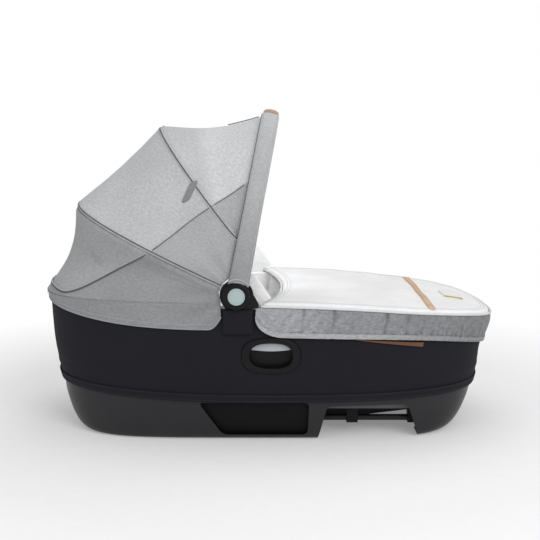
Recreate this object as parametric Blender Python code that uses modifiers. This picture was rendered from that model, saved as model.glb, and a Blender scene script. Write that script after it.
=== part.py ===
"""Carrycot with a folding canopy, a carry handle and a foot apron.

Metres, +Z up, +X towards the foot end, the floor at Z = 0. The right side is -Y.
A plastic base carries a moulded tub, a fabric cover goes round the tub, a padded
liner and a mattress lie in it, and a hub on each side carries the carry handle
and the rear bow of the canopy.
"""

import math

import bmesh
import bpy
import numpy as np
from mathutils import Matrix, Vector
from mathutils.bvhtree import BVHTree

# Fits and fineness
GAP = 0.0003
FIT = 0.0006
OVERRUN = 0.010
RING_POINTS = 40
TURN_SHARE = 0.55
FINE_POINTS = 4001
ANGLE_STEP = 0.001
ROUND_STEPS = 24
BAR_STEPS = 16
SMALL_STEPS = 14
OVAL_POWER = 2.4
BAR_POWER = 4.0
OVAL_POINTS = 12
BAR_POINTS = 8

SIDES = (("left", 1), ("right", -1))

# Plan outline of the whole carrycot: a superellipse, longer than wide, squarer at the floor
PLAN_POWER = 3.0
FLOOR_POWER = 5.2

# Rim of the tub: level at the head, falling towards the foot
RIM_HEIGHT = 0.238
RIM_DROP = 0.045
RIM_DROP_POWER = 4.5
RIM_HEAD = -0.405
RIM_FOOT = 0.405
RIM_HALF_WIDTH = 0.205

# Base: a moulded tray with an inward flange at the floor
BASE_HEAD_INSET = 0.020
BASE_TOP_HEAD = RIM_HEAD + BASE_HEAD_INSET
BASE_FOOT_INSET = 0.028
BASE_TOP_FOOT = RIM_FOOT - BASE_FOOT_INSET
BASE_SIDE_INSET = 0.009
BASE_TOP_HALF_WIDTH = RIM_HALF_WIDTH - BASE_SIDE_INSET
BASE_HEAD_TUCK = 0.060
BASE_BOTTOM_HEAD = BASE_TOP_HEAD + BASE_HEAD_TUCK
BASE_FOOT_TUCK = 0.074
BASE_BOTTOM_FOOT = BASE_TOP_FOOT - BASE_FOOT_TUCK
BASE_SIDE_TUCK = 0.030
BASE_BOTTOM_HALF_WIDTH = BASE_TOP_HALF_WIDTH - BASE_SIDE_TUCK
BASE_LIP_HEIGHT = 0.098
BASE_WALL = 0.003
BASE_FLANGE = 0.022
BASE_PROFILE_SHARES = ((0, 0), (0.015, 0.20), (0.06, 0.38), (0.16, 0.56), (0.40, 0.78), (0.72, 0.95), (1, 1))

# Notch in both sides of the base for the frame that the carrycot clips on
DECK_BELOW_LIP = 0.0285
DECK_TOP = BASE_LIP_HEIGHT - DECK_BELOW_LIP
NOTCH_BELOW_DECK = 0.0055
NOTCH_HEIGHT = DECK_TOP - NOTCH_BELOW_DECK
NOTCH_END_INSET = 0.041
NOTCH_LENGTH = 0.181
NOTCH_FOOT_TO = BASE_BOTTOM_FOOT - NOTCH_END_INSET
NOTCH_FOOT_FROM = NOTCH_FOOT_TO - NOTCH_LENGTH
NOTCH_HEAD_SLOPE = 0.017
NOTCH_FOOT_SLOPE = 0.022
NOTCH_TOP_FROM = NOTCH_FOOT_FROM + NOTCH_HEAD_SLOPE
NOTCH_TOP_TO = NOTCH_FOOT_TO - NOTCH_FOOT_SLOPE
NOTCH_CORNER = 0.008

# Window in both sides of the base, closed by a dark side panel set back behind it
WINDOW_ABOVE_DECK = 0.0015
WINDOW_TOP = DECK_TOP + WINDOW_ABOVE_DECK
WINDOW_BOTTOM = 0.009
WINDOW_BEFORE_NOTCH = 0.011
WINDOW_FOOT_SLOPE = 0.012
WINDOW_HEAD_SLOPE = 0.040
WINDOW_LENGTH = 0.156
WINDOW_FOOT_TO = NOTCH_FOOT_FROM - WINDOW_BEFORE_NOTCH
WINDOW_TOP_TO = WINDOW_FOOT_TO + WINDOW_FOOT_SLOPE
WINDOW_FOOT_FROM = WINDOW_FOOT_TO - WINDOW_LENGTH
WINDOW_TOP_FROM = WINDOW_FOOT_FROM - WINDOW_HEAD_SLOPE
PANEL_THICKNESS = 0.0025
PANEL_LAP = 0.0045
PANEL_BACK = 0.0015
PANEL_COLUMNS = 8
PANEL_ROWS = 5

# Deck, rails, keel and striker bars under the tub
DECK_THICKNESS = 0.0032
RAIL_END_INSET = 0.033
RAIL_FROM = BASE_BOTTOM_HEAD + RAIL_END_INSET + NOTCH_FOOT_SLOPE
RAIL_TO = BASE_BOTTOM_FOOT - RAIL_END_INSET
RAIL_SIDE_INSET = 0.034
RAIL_PLACE = BASE_BOTTOM_HALF_WIDTH - RAIL_SIDE_INSET
RAIL_WIDTH = 0.020
RAIL_HEIGHT = 0.022
KEEL_SIDE_INSET = 0.062
KEEL_HALF_WIDTH = RAIL_PLACE - KEEL_SIDE_INSET
KEEL_HEAD_INSET = 0.055
KEEL_FOOT_INSET = 0.018
KEEL_HEAD = BASE_BOTTOM_HEAD + KEEL_HEAD_INSET
KEEL_FOOT = BASE_BOTTOM_FOOT - KEEL_FOOT_INSET
KEEL_BOTTOM = 0.008
KEEL_RISE = 0.014
KEEL_RISE_LENGTH = 0.135
KEEL_RISE_FROM = KEEL_FOOT - KEEL_RISE_LENGTH
KEEL_END_SLOPE = 0.022
BAR_RADIUS = 0.0055
BAR_BELOW_DECK = 0.043
BAR_HEIGHT = DECK_TOP - BAR_BELOW_DECK
BAR_OVERLAP = 0.017
BAR_END_INSET = 0.004
BAR_FROM = NOTCH_FOOT_FROM - BAR_OVERLAP
BAR_TO = RAIL_TO - BAR_END_INSET
BAR_MOUNT_LENGTH = 0.020
BAR_MOUNT_WIDTH = 0.017
BAR_MOUNT_DROP = 0.002
BAR_MOUNT_SHARES = (0, 0.4, 1)
EDGE_ROUND = 0.0015

# Tub: moulded, open at the top
TUB_WALL = 0.003
TUB_CORNER = 0.025
TUB_CORNER_SHARES = ((0, 1), (0.17, 0.36), (0.57, 0.06), (1, 0))

# Side cover: dark fabric from the rim down over the lip of the base
COVER_WALL = 0.0015
COVER_STAND_OFF = 0.0022
COVER_OVERLAP = 0.026
COVER_HEM_HEAD = BASE_TOP_HEAD - COVER_STAND_OFF
COVER_HEM_FOOT = BASE_TOP_FOOT + COVER_STAND_OFF
COVER_HEM_HALF_WIDTH = BASE_TOP_HALF_WIDTH + COVER_STAND_OFF
COVER_HEM_HEIGHT = BASE_LIP_HEIGHT - COVER_OVERLAP
COVER_HEM_HEAD_RISE = 0.016
COVER_HEM_FOOT_RISE = 0.007
COVER_LEVEL_SHARES = (0, 0.12, 0.27, 0.52, 1)
COVER_SIDE_SHARES = (0, 0.50, 0.93, 1, 1)
COVER_HEAD_SHARES = (0, 0.25, 0.50, 0.72, 1)
COVER_FOOT_SHARES = (0, 0.14, 0.28, 0.40, 1)
BINDING_WIDTH = 0.015
BINDING_THICKNESS = 0.0012

# Liner, mattress and board
LINER_THICKNESS = 0.0155
LINER_FOOT_THICKNESS = 0.009
LINER_LIFT = 0.0175
LINER_BOTTOM = DECK_TOP + LINER_LIFT
LINER_BELOW_RIM = 0.0015
LINER_CREST = 0.0015
LINER_EASE = 0.0009
LINER_CHANNEL_DEPTH = 0.003
LINER_CHANNELS = 30
BOARD_THICKNESS = 0.003
MATTRESS_THICKNESS = 0.027
MATTRESS_CROWN = 0.006
MATTRESS_PUFF = 0.004
MATTRESS_SIDE_SHARES = ((0, 2), (0.18, 0.33), (0.50, 0), (0.82, 0.33), (1, 2.5))
MATTRESS_TOP_SHARES = (0.7, 0.4)
MATTRESS_INSET = 0.029
MATTRESS_HEAD = BASE_TOP_HEAD + MATTRESS_INSET
MATTRESS_FOOT = BASE_TOP_FOOT - MATTRESS_INSET
MATTRESS_HALF_WIDTH = BASE_TOP_HALF_WIDTH - MATTRESS_INSET

# Side grips: an oval bezel with a cup behind it, and a lever in the cup
GRIP_X = 0.0017
GRIP_BELOW_RIM = 0.0815
GRIP_Z = RIM_HEIGHT - GRIP_BELOW_RIM
GRIP_POWER = 2.6
GRIP_OPENING_LENGTH = 0.072
GRIP_OPENING_HEIGHT = 0.043
GRIP_SIDE_BORDER = 0.015
GRIP_TOP_BORDER = 0.010
GRIP_LENGTH = GRIP_OPENING_LENGTH + 2 * GRIP_SIDE_BORDER
GRIP_HEIGHT = GRIP_OPENING_HEIGHT + 2 * GRIP_TOP_BORDER
GRIP_FLANGE = 0.003
GRIP_FLANGE_ROUND = 0.0012
GRIP_CUP_WALL = 0.002
GRIP_CUP_DEPTH = 0.0170
GRIP_POINTS = 24
LEVER_HEIGHT = 0.0155
LEVER_BOW = 0.003
LEVER_EDGE_SHARES = (-1, -0.5, 0, 0.5, 1)
LEVER_THICKNESS = 0.009
LEVER_TRAVEL = 0.005
LEVER_CLEAR = 0.0004
LEVER_ROOM = 0.0016
LEVER_SPRING_RADIUS = 0.0020
LEVER_SPRING_WIRE = 0.0003
LEVER_SPRING_TURNS = 3.5
LEVER_BORE_CLEAR = 0.0004
LEVER_BORE_RADIUS = LEVER_SPRING_RADIUS + LEVER_SPRING_WIRE + LEVER_BORE_CLEAR
LEVER_BORE_DEPTH = 0.0085

# Hubs on the rim: one axis for the handle and the rear bow
HUB_X = -0.0564
HUB_ABOVE_RIM = 0.0233
HUB_Z = RIM_HEIGHT + HUB_ABOVE_RIM
HUB_RADIUS = 0.023
HUB_FLOOR = 0.0035
HUB_DEPTH = 0.0129
HUB_ROUND = 0.0018
BRACKET_THICKNESS = 0.004
BRACKET_HEAD_RADIUS = 0.020
BRACKET_ARC_FROM = 180
BRACKET_ARC_TO = 75
BRACKET_ARC_POINTS = 8
BRACKET_REACH = 0.0374
BRACKET_FOOT_REACH = 0.0264
BRACKET_DEPTH = 0.0563
BRACKET_SHOULDER_DEPTH = 0.0148
BRACKET_STEP_DEPTH = 0.0208
BRACKET_TIP_REACH = 0.0124
BRACKET_TIP_RISE = 0.0312
BRACKET_FROM = HUB_X - BRACKET_HEAD_RADIUS
BRACKET_TO = HUB_X + BRACKET_REACH
BRACKET_FOOT_TO = HUB_X + BRACKET_FOOT_REACH
BRACKET_BOTTOM = HUB_Z - BRACKET_DEPTH
BRACKET_SHOULDER = HUB_Z - BRACKET_SHOULDER_DEPTH
BRACKET_STEP = HUB_Z - BRACKET_STEP_DEPTH
BRACKET_TIP_X = HUB_X + BRACKET_TIP_REACH
BRACKET_TIP_Z = HUB_Z + BRACKET_TIP_RISE
SCREW_RADIUS = 0.0035
SCREW_SHANK_RADIUS = 0.0018
SCREW_HEAD = 0.0018
SCREW_STEPS = 10
SCREW_REACH = 0.0057
SCREW_INSET = 0.010
SCREW_HEIGHT = BRACKET_BOTTOM + SCREW_INSET
SCREW_FROM = BRACKET_FROM + SCREW_INSET
SCREW_TO = BRACKET_FOOT_TO - SCREW_INSET
PIN_RADIUS = 0.0025
PIN_CLEAR = 0.0004
PIN_BORE = PIN_RADIUS + PIN_CLEAR
PIN_HEAD_LAP = 0.0026
PIN_HEAD_RADIUS = PIN_BORE + PIN_HEAD_LAP
PIN_HEAD = 0.0018
PIN_HEAD_ROUND = 0.0006
HUB_BORDER = 0.0085
BUTTON_RADIUS = HUB_RADIUS - HUB_BORDER
BUTTON_CLEAR = 0.0004
BUTTON_PROUD = 0.0006
BUTTON_TOP = 0.0022
BUTTON_WALL = 0.0014
BUTTON_ROUND = 0.0009
BUTTON_TRAVEL = 0.0025
BUTTON_SPRING_RADIUS = 0.0045
BUTTON_SPRING_WIRE = 0.00035
BUTTON_SPRING_TURNS = 2.25
COIL_POINTS = 8
EAR_THICKNESS = 0.006
EAR_CLEAR = 0.0009
EAR_TURN_SHARE = 0.25
EAR_RISE = 0.0347
EAR_TOP_BACK = 0.0176
EAR_TOP_REACH = 0.0300
EAR_FOOT_BACK = 0.0256
EAR_FOOT_REACH = 0.0419
EAR_TOP = HUB_Z + EAR_RISE
EAR_TOP_FROM = HUB_X - EAR_TOP_BACK
EAR_TOP_TO = HUB_X + EAR_TOP_REACH
EAR_FOOT_FROM = HUB_X - EAR_FOOT_BACK
EAR_FOOT_TO = HUB_X + EAR_FOOT_REACH

# Bows of the canopy: plane superellipse arches that stand on the hub axis
HANDLE_TILT = -10.9
HANDLE_REACH = 0.309
HANDLE_POWER = 2.58
HANDLE_STAND_OFF = 0.0105
HANDLE_HALF_WIDTH = RIM_HALF_WIDTH + HANDLE_STAND_OFF
HANDLE_BAR_WIDTH = 0.020
HANDLE_BAR_THICKNESS = 0.006
HANDLE_BEYOND_BUTTON = 0.002
HANDLE_START = BUTTON_RADIUS + HANDLE_BEYOND_BUTTON
HANDLE_POINTS = 28
SLEEVE_WIDTH = 0.031
SLEEVE_FOOT_WIDTH = 0.035
SLEEVE_FOOT_SHARE = 0.33
SLEEVE_THICKNESS = 0.0116
SLEEVE_BEYOND_HUB = 0.0045
SLEEVE_START = HUB_RADIUS + SLEEVE_BEYOND_HUB
SLEEVE_POINTS = 14
HAND_GRIP_HALF_LENGTH = 0.056
HAND_GRIP_WIDTH = 0.029
HAND_GRIP_THICKNESS = 0.016
HAND_GRIP_POINTS = 6
REAR_TILT = 64.85
REAR_BEYOND_HANDLE = 0.0145
REAR_REACH = HANDLE_REACH + REAR_BEYOND_HANDLE
REAR_POWER = 2.60
REAR_STAND_IN = 0.002
REAR_HALF_WIDTH = RIM_HALF_WIDTH - REAR_STAND_IN
REAR_BAR_WIDTH = 0.014
REAR_BAR_THICKNESS = 0.003
REAR_EYE_WALL = 0.0071
REAR_EYE_RADIUS = PIN_BORE + REAR_EYE_WALL
BOW_FOOT_ANGLE = 0.001
BATTEN_AHEAD = 0.0034
BATTEN_RISE = 0.0907
BATTEN_X = HUB_X + BATTEN_AHEAD
BATTEN_Z = HUB_Z + BATTEN_RISE
BATTEN_TILT = 38.6
BATTEN_SHORTER = 0.073
BATTEN_REACH = HANDLE_REACH - BATTEN_SHORTER
BATTEN_POWER = 1.80
BATTEN_STAND_IN = 0.0005
BATTEN_HALF_WIDTH = REAR_HALF_WIDTH - BATTEN_STAND_IN
BATTEN_WIDTH = 0.008
BATTEN_THICKNESS = 0.0024
BATTEN_START_SHARE = 0.03
BATTEN_POINTS = 18

# Canopy fabric
CANOPY_WALL = 0.0014
CANOPY_BEYOND_SLEEVE = 0.0025
CANOPY_START = SLEEVE_START + CANOPY_BEYOND_SLEEVE
CANOPY_SAG = 0.012
CANOPY_MID_SAG = 0.004
CANOPY_REAR_SAG = 0.016
SAG_POWER = 0.5
CANOPY_LEG_COLUMNS = 3
CANOPY_COLUMNS = BATTEN_POINTS + 2 * CANOPY_LEG_COLUMNS
CANOPY_ROWS = 3
CANOPY_LAP = 0.004
SKIRT_BEHIND_HUB = 0.0036
SKIRT_FROM = HUB_X - HUB_RADIUS - SKIRT_BEHIND_HUB
SKIRT_TOP_PROUD = 0.010
SKIRT_FLARE = 0.0040
SKIRT_SIDE_FLARE = 0.0006
SKIRT_DROP = 0.035
SKIRT_HEM = RIM_HEIGHT - SKIRT_DROP
SKIRT_HEM_HEAD_RISE = 0.034
SKIRT_HEM_POWER = 2.6
SKIRT_CORNER = 0.022
SKIRT_ROWS = 3
SKIRT_COLUMNS = CANOPY_COLUMNS

# Foot apron
APRON_AHEAD = 0.008
APRON_FROM = BRACKET_TO + APRON_AHEAD
APRON_BOW = 0.036
APRON_BOW_POWER = 2.2
APRON_THICKNESS = 0.011
APRON_EDGE_RISE = 0.003
APRON_PROUD = 0.0003
APRON_SEAT = -0.0002
APRON_CROWN = 0.0170
APRON_CROWN_POWER = 2.8
APRON_CENTRE_INSET = 0.190
APRON_CENTRE_X = RIM_FOOT - APRON_CENTRE_INSET
APRON_COLUMNS = 48
APRON_RING_SHARES = (0.45, 0.72, 0.90, 0.98)
BAND_THICKNESS = 0.0020
BAND_GATHER = 0.0016
BAND_GATHERS = 40
BAND_AHEAD = 0.0035
BAND_FROM = BRACKET_FOOT_TO + BAND_AHEAD
BAND_DROP = 0.0485
BAND_HEM = RIM_HEIGHT - BAND_DROP
BAND_HEM_SIDE_DROP = 0.010
BAND_HEM_FOOT_DROP = 0.026
BAND_DROP_POWER = 5.0
BAND_SPREAD = 0.0003
BAND_CORNER = 0.022
BAND_ROW_SHARES = (0, 0.5, 1)
BAND_SLACK_SHARES = (1, 0.7, 0.4)
PIPING_RADIUS = 0.0022
PIPING_SIDES = 6
STRIP_INSET = 0.125
STRIP_X = RIM_FOOT - STRIP_INSET
STRIP_WIDTH = 0.013
STRIP_THICKNESS = 0.0012
STRIP_HALF_LENGTH_SHARE = 0.95
STRIP_POINTS = 22
PATCH_INSET = 0.064
PATCH_X = RIM_FOOT - PATCH_INSET
PATCH_Y = -0.004
PATCH_LENGTH = 0.034
PATCH_WIDTH = 0.070
PATCH_THICKNESS = 0.001
PATCH_STEPS = 6
DRAPE_LIFT = 0.0008
TAG_INSET = 0.151
TAG_LENGTH = 0.096
TAG_TO = RIM_FOOT - TAG_INSET
TAG_FROM = TAG_TO - TAG_LENGTH
TAG_BELOW_BAND = 0.013
TAG_TOP = BAND_HEM - TAG_BELOW_BAND
TAG_SLOPE = 0.0028
TAG_WIDTH = 0.0075
TAG_TIP_WIDTH = 0.0015
TAG_THICKNESS = 0.0008
TAG_POINTS = 9

# Colours, roughness and metallic value of each material
FINISHES = {
    "base_plastic": ((0.032, 0.031, 0.034), 0.38, 0.0),
    "panel_plastic": ((0.012, 0.011, 0.012), 0.55, 0.0),
    "deck_plastic": ((0.20, 0.20, 0.21), 0.60, 0.0),
    "keel_plastic": ((0.018, 0.018, 0.019), 0.50, 0.0),
    "bar_steel": ((0.02, 0.02, 0.02), 0.40, 0.6),
    "tub_plastic": ((0.25, 0.25, 0.26), 0.55, 0.0),
    "navy_fabric": ((0.016, 0.015, 0.021), 0.90, 0.0),
    "grey_melange": ((0.42, 0.42, 0.43), 0.92, 0.0),
    "apron_fabric": ((0.72, 0.72, 0.73), 0.90, 0.0),
    "band_fabric": ((0.30, 0.30, 0.31), 0.92, 0.0),
    "liner_fabric": ((0.75, 0.75, 0.75), 0.92, 0.0),
    "mattress_fabric": ((0.80, 0.80, 0.79), 0.92, 0.0),
    "board": ((0.55, 0.42, 0.28), 0.80, 0.0),
    "hub_plastic": ((0.012, 0.012, 0.013), 0.35, 0.0),
    "button_plastic": ((0.45, 0.55, 0.55), 0.40, 0.0),
    "lever_plastic": ((0.40, 0.42, 0.45), 0.45, 0.0),
    "bracket_plastic": ((0.018, 0.024, 0.022), 0.45, 0.0),
    "aluminium": ((0.60, 0.60, 0.62), 0.35, 1.0),
    "spring_steel": ((0.50, 0.50, 0.52), 0.30, 1.0),
    "leather": ((0.45, 0.24, 0.12), 0.55, 0.0),
    "batten_plastic": ((0.75, 0.76, 0.76), 0.40, 0.0),
}


# Scene and material helpers

def clear_scene():
    for old in list(bpy.data.objects):
        bpy.data.objects.remove(old, do_unlink=True)
    for old in list(bpy.data.collections):
        bpy.data.collections.remove(old)


def make_collection(name):
    made = bpy.data.collections.new(name)
    bpy.context.scene.collection.children.link(made)
    return made


def finish(name):
    material = bpy.data.materials.get(name)
    if material is None:
        colour, roughness, metallic = FINISHES[name]
        material = bpy.data.materials.new(name)
        material.use_nodes = True
        shader = material.node_tree.nodes["Principled BSDF"]
        shader.inputs["Base Color"].default_value = (*colour, 1)
        shader.inputs["Roughness"].default_value = roughness
        shader.inputs["Metallic"].default_value = metallic
    return material


def keep(name, mesh, finish_name=None, smooth_angle=35):
    """Puts a mesh in the scene as a part, or as a cutter if it has no finish."""
    mesh.name = name
    made = bpy.data.objects.new(name, mesh)
    if finish_name is None:
        CUTTERS.objects.link(made)
        made.hide_render = True
        made.display_type = "WIRE"
    else:
        PARTS.objects.link(made)
        mesh.materials.append(finish(finish_name))
        mesh.shade_smooth()
        mesh.set_sharp_from_angle(angle=math.radians(smooth_angle))
    return made


def axis_empty(name, place):
    """An empty on a joint's axis, which the moving pieces hang on."""
    empty = bpy.data.objects.new(name, None)
    empty.location = place
    PARTS.objects.link(empty)
    return empty


def hang(parent, *pieces):
    for piece in pieces:
        piece.parent = parent
        piece.matrix_parent_inverse = Matrix.Translation(parent.location).inverted()


def solidify(piece, thickness, outward=False):
    wall = piece.modifiers.new("wall", "SOLIDIFY")
    wall.thickness = thickness
    wall.offset = 1 if outward else -1
    wall.use_even_offset = True
    return piece


def boolean(piece, other, operation="DIFFERENCE"):
    change = piece.modifiers.new(other.name, "BOOLEAN")
    change.operation = operation
    change.object = other
    return piece


def bevel(piece, width, segments=1):
    edge = piece.modifiers.new("edge", "BEVEL")
    edge.width = width
    edge.segments = segments
    edge.limit_method = "ANGLE"
    return piece


def surface_of(piece):
    """The finished surface of a piece, for laying others on it."""
    bpy.context.view_layer.update()
    return BVHTree.FromObject(piece, bpy.context.evaluated_depsgraph_get())


# Shapes

def loft(sections, closed=True, cap_first=False, cap_last=False):
    """A mesh through sections of equal length, each a closed loop or an open row."""
    mesh = bpy.data.meshes.new("loft")
    build = bmesh.new()
    rows = [[build.verts.new(point) for point in section] for section in sections]
    count = len(rows[0])
    for low, high in zip(rows, rows[1:]):
        for here in range(count if closed else count - 1):
            there = (here + 1) % count
            build.faces.new((low[here], low[there], high[there], high[here]))
    if cap_first:
        build.faces.new(rows[0][::-1])
    if cap_last:
        build.faces.new(rows[-1])
    build.to_mesh(mesh)
    build.free()
    return mesh


def tube_of_sections(sections, ring=True):
    """A closed solid from closed cross-sections carried round a ring or along a path."""
    loops = list(sections)
    if ring:
        loops.append(loops[0])
        mesh = loft(loops)
        build = bmesh.new()
        build.from_mesh(mesh)
        bmesh.ops.remove_doubles(build, verts=build.verts, dist=GAP / 10)
    else:
        mesh = loft(loops, cap_first=True, cap_last=True)
        build = bmesh.new()
        build.from_mesh(mesh)
    bmesh.ops.recalc_face_normals(build, faces=build.faces)
    build.to_mesh(mesh)
    build.free()
    return mesh


def box(size, place):
    mesh = bpy.data.meshes.new("box")
    build = bmesh.new()
    bmesh.ops.create_cube(build, size=1, matrix=Matrix.Translation(place) @ Matrix.Diagonal((*size, 1)))
    build.to_mesh(mesh)
    build.free()
    return mesh


def rod(radius, start, end, steps=ROUND_STEPS):
    """A cylinder from one point to another."""
    start, end = Vector(start), Vector(end)
    turn = (end - start).to_track_quat("Z", "Y").to_matrix().to_4x4()
    place = Matrix.Translation((start + end) / 2) @ turn
    mesh = bpy.data.meshes.new("rod")
    build = bmesh.new()
    bmesh.ops.create_cone(
        build, cap_ends=True, segments=steps, radius1=radius, radius2=radius,
        depth=(end - start).length, matrix=place,
    )
    build.to_mesh(mesh)
    build.free()
    return mesh


def turned(name, profile, side, finish_name, steps=ROUND_STEPS, closed=False):
    """A piece turned about the hub axis. The profile is (radius, |y|), outermost point first."""
    mesh = bpy.data.meshes.new(name)
    build = bmesh.new()
    points = [build.verts.new((radius, 0, out)) for radius, out in profile]
    for here, there in zip(points, points[1:]):
        build.edges.new((here, there))
    if closed:
        build.edges.new((points[-1], points[0]))
    build.to_mesh(mesh)
    build.free()
    made = keep(name, mesh, finish_name)
    made.location = (HUB_X, 0, HUB_Z)
    made.rotation_euler = (-side * math.pi / 2, 0, 0)
    turn = made.modifiers.new("turn", "SCREW")
    turn.steps = steps
    turn.render_steps = steps
    turn.use_merge_vertices = True
    turn.merge_threshold = GAP / 10
    turn.use_smooth_shade = True
    return made


def plate(outline, near, far):
    """A prism between two planes of constant y, from an outline of (x, z) points."""
    near_row = [(x, near, z) for x, z in outline]
    far_row = [(x, far, z) for x, z in outline]
    return tube_of_sections([near_row, far_row], ring=False)


def coil(name, start, along, length, radius, wire, turns, finish_name):
    """A compression spring as one unbroken tube about an axis."""
    along = Vector(along)
    across = along.orthogonal().normalized()
    third = along.cross(across)
    count = int(turns * COIL_POINTS) + 1
    curve = bpy.data.curves.new(name, "CURVE")
    curve.dimensions = "3D"
    curve.bevel_depth = wire
    curve.bevel_resolution = 1
    curve.use_fill_caps = True
    line = curve.splines.new("POLY")
    line.points.add(count - 1)
    for number, point in enumerate(line.points):
        share = number / (count - 1)
        angle = 2 * math.pi * turns * share
        place = Vector(start) + along * (wire + share * (length - 2 * wire))
        place += radius * (math.cos(angle) * across + math.sin(angle) * third)
        point.co = (*place, 1)
    made = bpy.data.objects.new(name, curve)
    curve.materials.append(finish(finish_name))
    PARTS.objects.link(made)
    return made


def signed_power(value, power):
    return np.sign(value) * np.abs(value) ** power


def superellipse(angles, power):
    return signed_power(np.cos(angles), 2 / power), signed_power(np.sin(angles), 2 / power)


def spread_angles(count, half_length, half_width, power):
    """Angles whose points lie close together where the outline turns, and far apart where it is straight."""
    fine = np.linspace(0, 2 * math.pi, FINE_POINTS)
    x, y = superellipse(fine, power)
    step = np.hypot(np.diff(x * half_length), np.diff(y * half_width))
    heading = np.unwrap(np.arctan2(np.diff(y * half_width), np.diff(x * half_length)))
    turn = np.abs(np.diff(heading, prepend=heading[0]))
    weight = (1 - TURN_SHARE) * step / step.sum() + TURN_SHARE * turn / turn.sum()
    walked = np.concatenate([[0], np.cumsum(weight)])
    return np.interp(np.linspace(0, walked[-1], count), walked, fine)


def resample(points, count):
    """Equally spaced points along a polyline."""
    points = np.array(points)
    step = np.linalg.norm(np.diff(points, axis=0), axis=1)
    walked = np.concatenate([[0], np.cumsum(step)])
    wanted = np.linspace(0, walked[-1], count)
    return np.stack([np.interp(wanted, walked, points[:, axis]) for axis in range(3)], axis=1)


def rim_height(x):
    share = np.clip((np.asarray(x) - RIM_HEAD) / (RIM_FOOT - RIM_HEAD), 0, None)
    return RIM_HEIGHT - RIM_DROP * share**RIM_DROP_POWER


def hem_height(x):
    x = np.asarray(x, float)
    head = COVER_HEM_HEAD_RISE * np.clip(x / COVER_HEM_HEAD, 0, None) ** 2
    foot = COVER_HEM_FOOT_RISE * np.clip(x / COVER_HEM_FOOT, 0, None) ** 2
    return COVER_HEM_HEIGHT + head + foot


def outline(section, angles, inset=0, power=PLAN_POWER):
    """Plan points of a section (head, foot, half width), set in by a length."""
    head, foot, half_width = section
    x, y = superellipse(angles, power)
    centre = (head + foot) / 2
    return centre + x * ((foot - head) / 2 - inset), y * (half_width - inset)


def side_angle(x):
    """The angle at which the rim's outline is at a place along the side."""
    half_length = (RIM_FOOT - RIM_HEAD) / 2
    share = (x - (RIM_FOOT + RIM_HEAD) / 2) / half_length
    return math.acos(math.copysign(abs(share) ** (PLAN_POWER / 2), share))


def ring_angles():
    half_length = (RIM_FOOT - RIM_HEAD) / 2
    return spread_angles(RING_POINTS + 1, half_length, RIM_HALF_WIDTH, PLAN_POWER)[:-1]


def flat_ring(section, height, inset=0, angles=None, power=PLAN_POWER):
    x, y = outline(section, ring_angles() if angles is None else angles, inset, power)
    return [(px, py, height) for px, py in zip(x, y)]


def base_spread(height):
    """The share of the way from the base's plan at the floor to that at its lip."""
    levels, spreads = zip(*BASE_PROFILE_SHARES)
    return float(np.interp(height / BASE_LIP_HEIGHT, levels, spreads))


def base_power(height):
    """How square the base is at a height."""
    return FLOOR_POWER + base_spread(height) * (PLAN_POWER - FLOOR_POWER)


def base_ring(height, inset=0):
    return flat_ring(base_section(height), height, inset, power=base_power(height))


def base_section(height):
    """Plan of the base's outer face at a height."""
    spread = base_spread(height)
    bottom = (BASE_BOTTOM_HEAD, BASE_BOTTOM_FOOT, BASE_BOTTOM_HALF_WIDTH)
    top = (BASE_TOP_HEAD, BASE_TOP_FOOT, BASE_TOP_HALF_WIDTH)
    return tuple(low + spread * (high - low) for low, high in zip(bottom, top))


def cover_section(level):
    """Plan of the cover's outer face at a share of the way from its hem to the rim."""
    head, foot, side = (
        np.interp(level, COVER_LEVEL_SHARES, shares)
        for shares in (COVER_HEAD_SHARES, COVER_FOOT_SHARES, COVER_SIDE_SHARES)
    )
    return (
        COVER_HEM_HEAD + head * (RIM_HEAD - COVER_HEM_HEAD),
        COVER_HEM_FOOT + foot * (RIM_FOOT - COVER_HEM_FOOT),
        COVER_HEM_HALF_WIDTH + side * (RIM_HALF_WIDTH - COVER_HEM_HALF_WIDTH),
    )


def cover_level(x, z):
    """The share of the way from hem to rim at which the cover is at a height."""
    low = hem_height(x)
    return np.clip((z - low) / (rim_height(x) - low), 0, 1)


def cover_ring(level, inset=0, angles=None):
    x, y = outline(cover_section(level), ring_angles() if angles is None else angles, inset)
    low = hem_height(x)
    z = low + level * (rim_height(x) - low)
    return [tuple(point) for point in np.stack([x, y, z], axis=1)]


# Base

def notch_cutter():
    corner = NOTCH_CORNER
    points = [
        (NOTCH_FOOT_FROM - corner, -OVERRUN),
        (NOTCH_FOOT_FROM, 0),
        (NOTCH_TOP_FROM - corner / 2, NOTCH_HEIGHT - corner),
        (NOTCH_TOP_FROM + corner / 2, NOTCH_HEIGHT),
        (NOTCH_TOP_TO - corner / 2, NOTCH_HEIGHT),
        (NOTCH_TOP_TO + corner / 2, NOTCH_HEIGHT - corner),
        (NOTCH_FOOT_TO, 0),
        (NOTCH_FOOT_TO + corner, -OVERRUN),
    ]
    reach = BASE_TOP_HALF_WIDTH + OVERRUN
    return keep("cut_notch", plate(points, -reach, reach))


def window_cutter():
    points = [
        (WINDOW_FOOT_FROM, WINDOW_BOTTOM),
        (WINDOW_FOOT_TO, WINDOW_BOTTOM),
        (WINDOW_TOP_TO, WINDOW_TOP),
        (WINDOW_TOP_FROM, WINDOW_TOP),
    ]
    reach = BASE_TOP_HALF_WIDTH + OVERRUN
    return keep("cut_window", plate(points, -reach, reach))


def make_base():
    rings = [base_ring(0, BASE_FLANGE)]
    for level, _ in BASE_PROFILE_SHARES:
        rings.append(base_ring(level * BASE_LIP_HEIGHT))
    shell = keep("base_shell", loft(rings), "base_plastic")
    solidify(shell, BASE_WALL)
    boolean(shell, notch_cutter())
    boolean(shell, window_cutter())
    for name, side in SIDES:
        make_side_panel(name, side)


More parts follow.
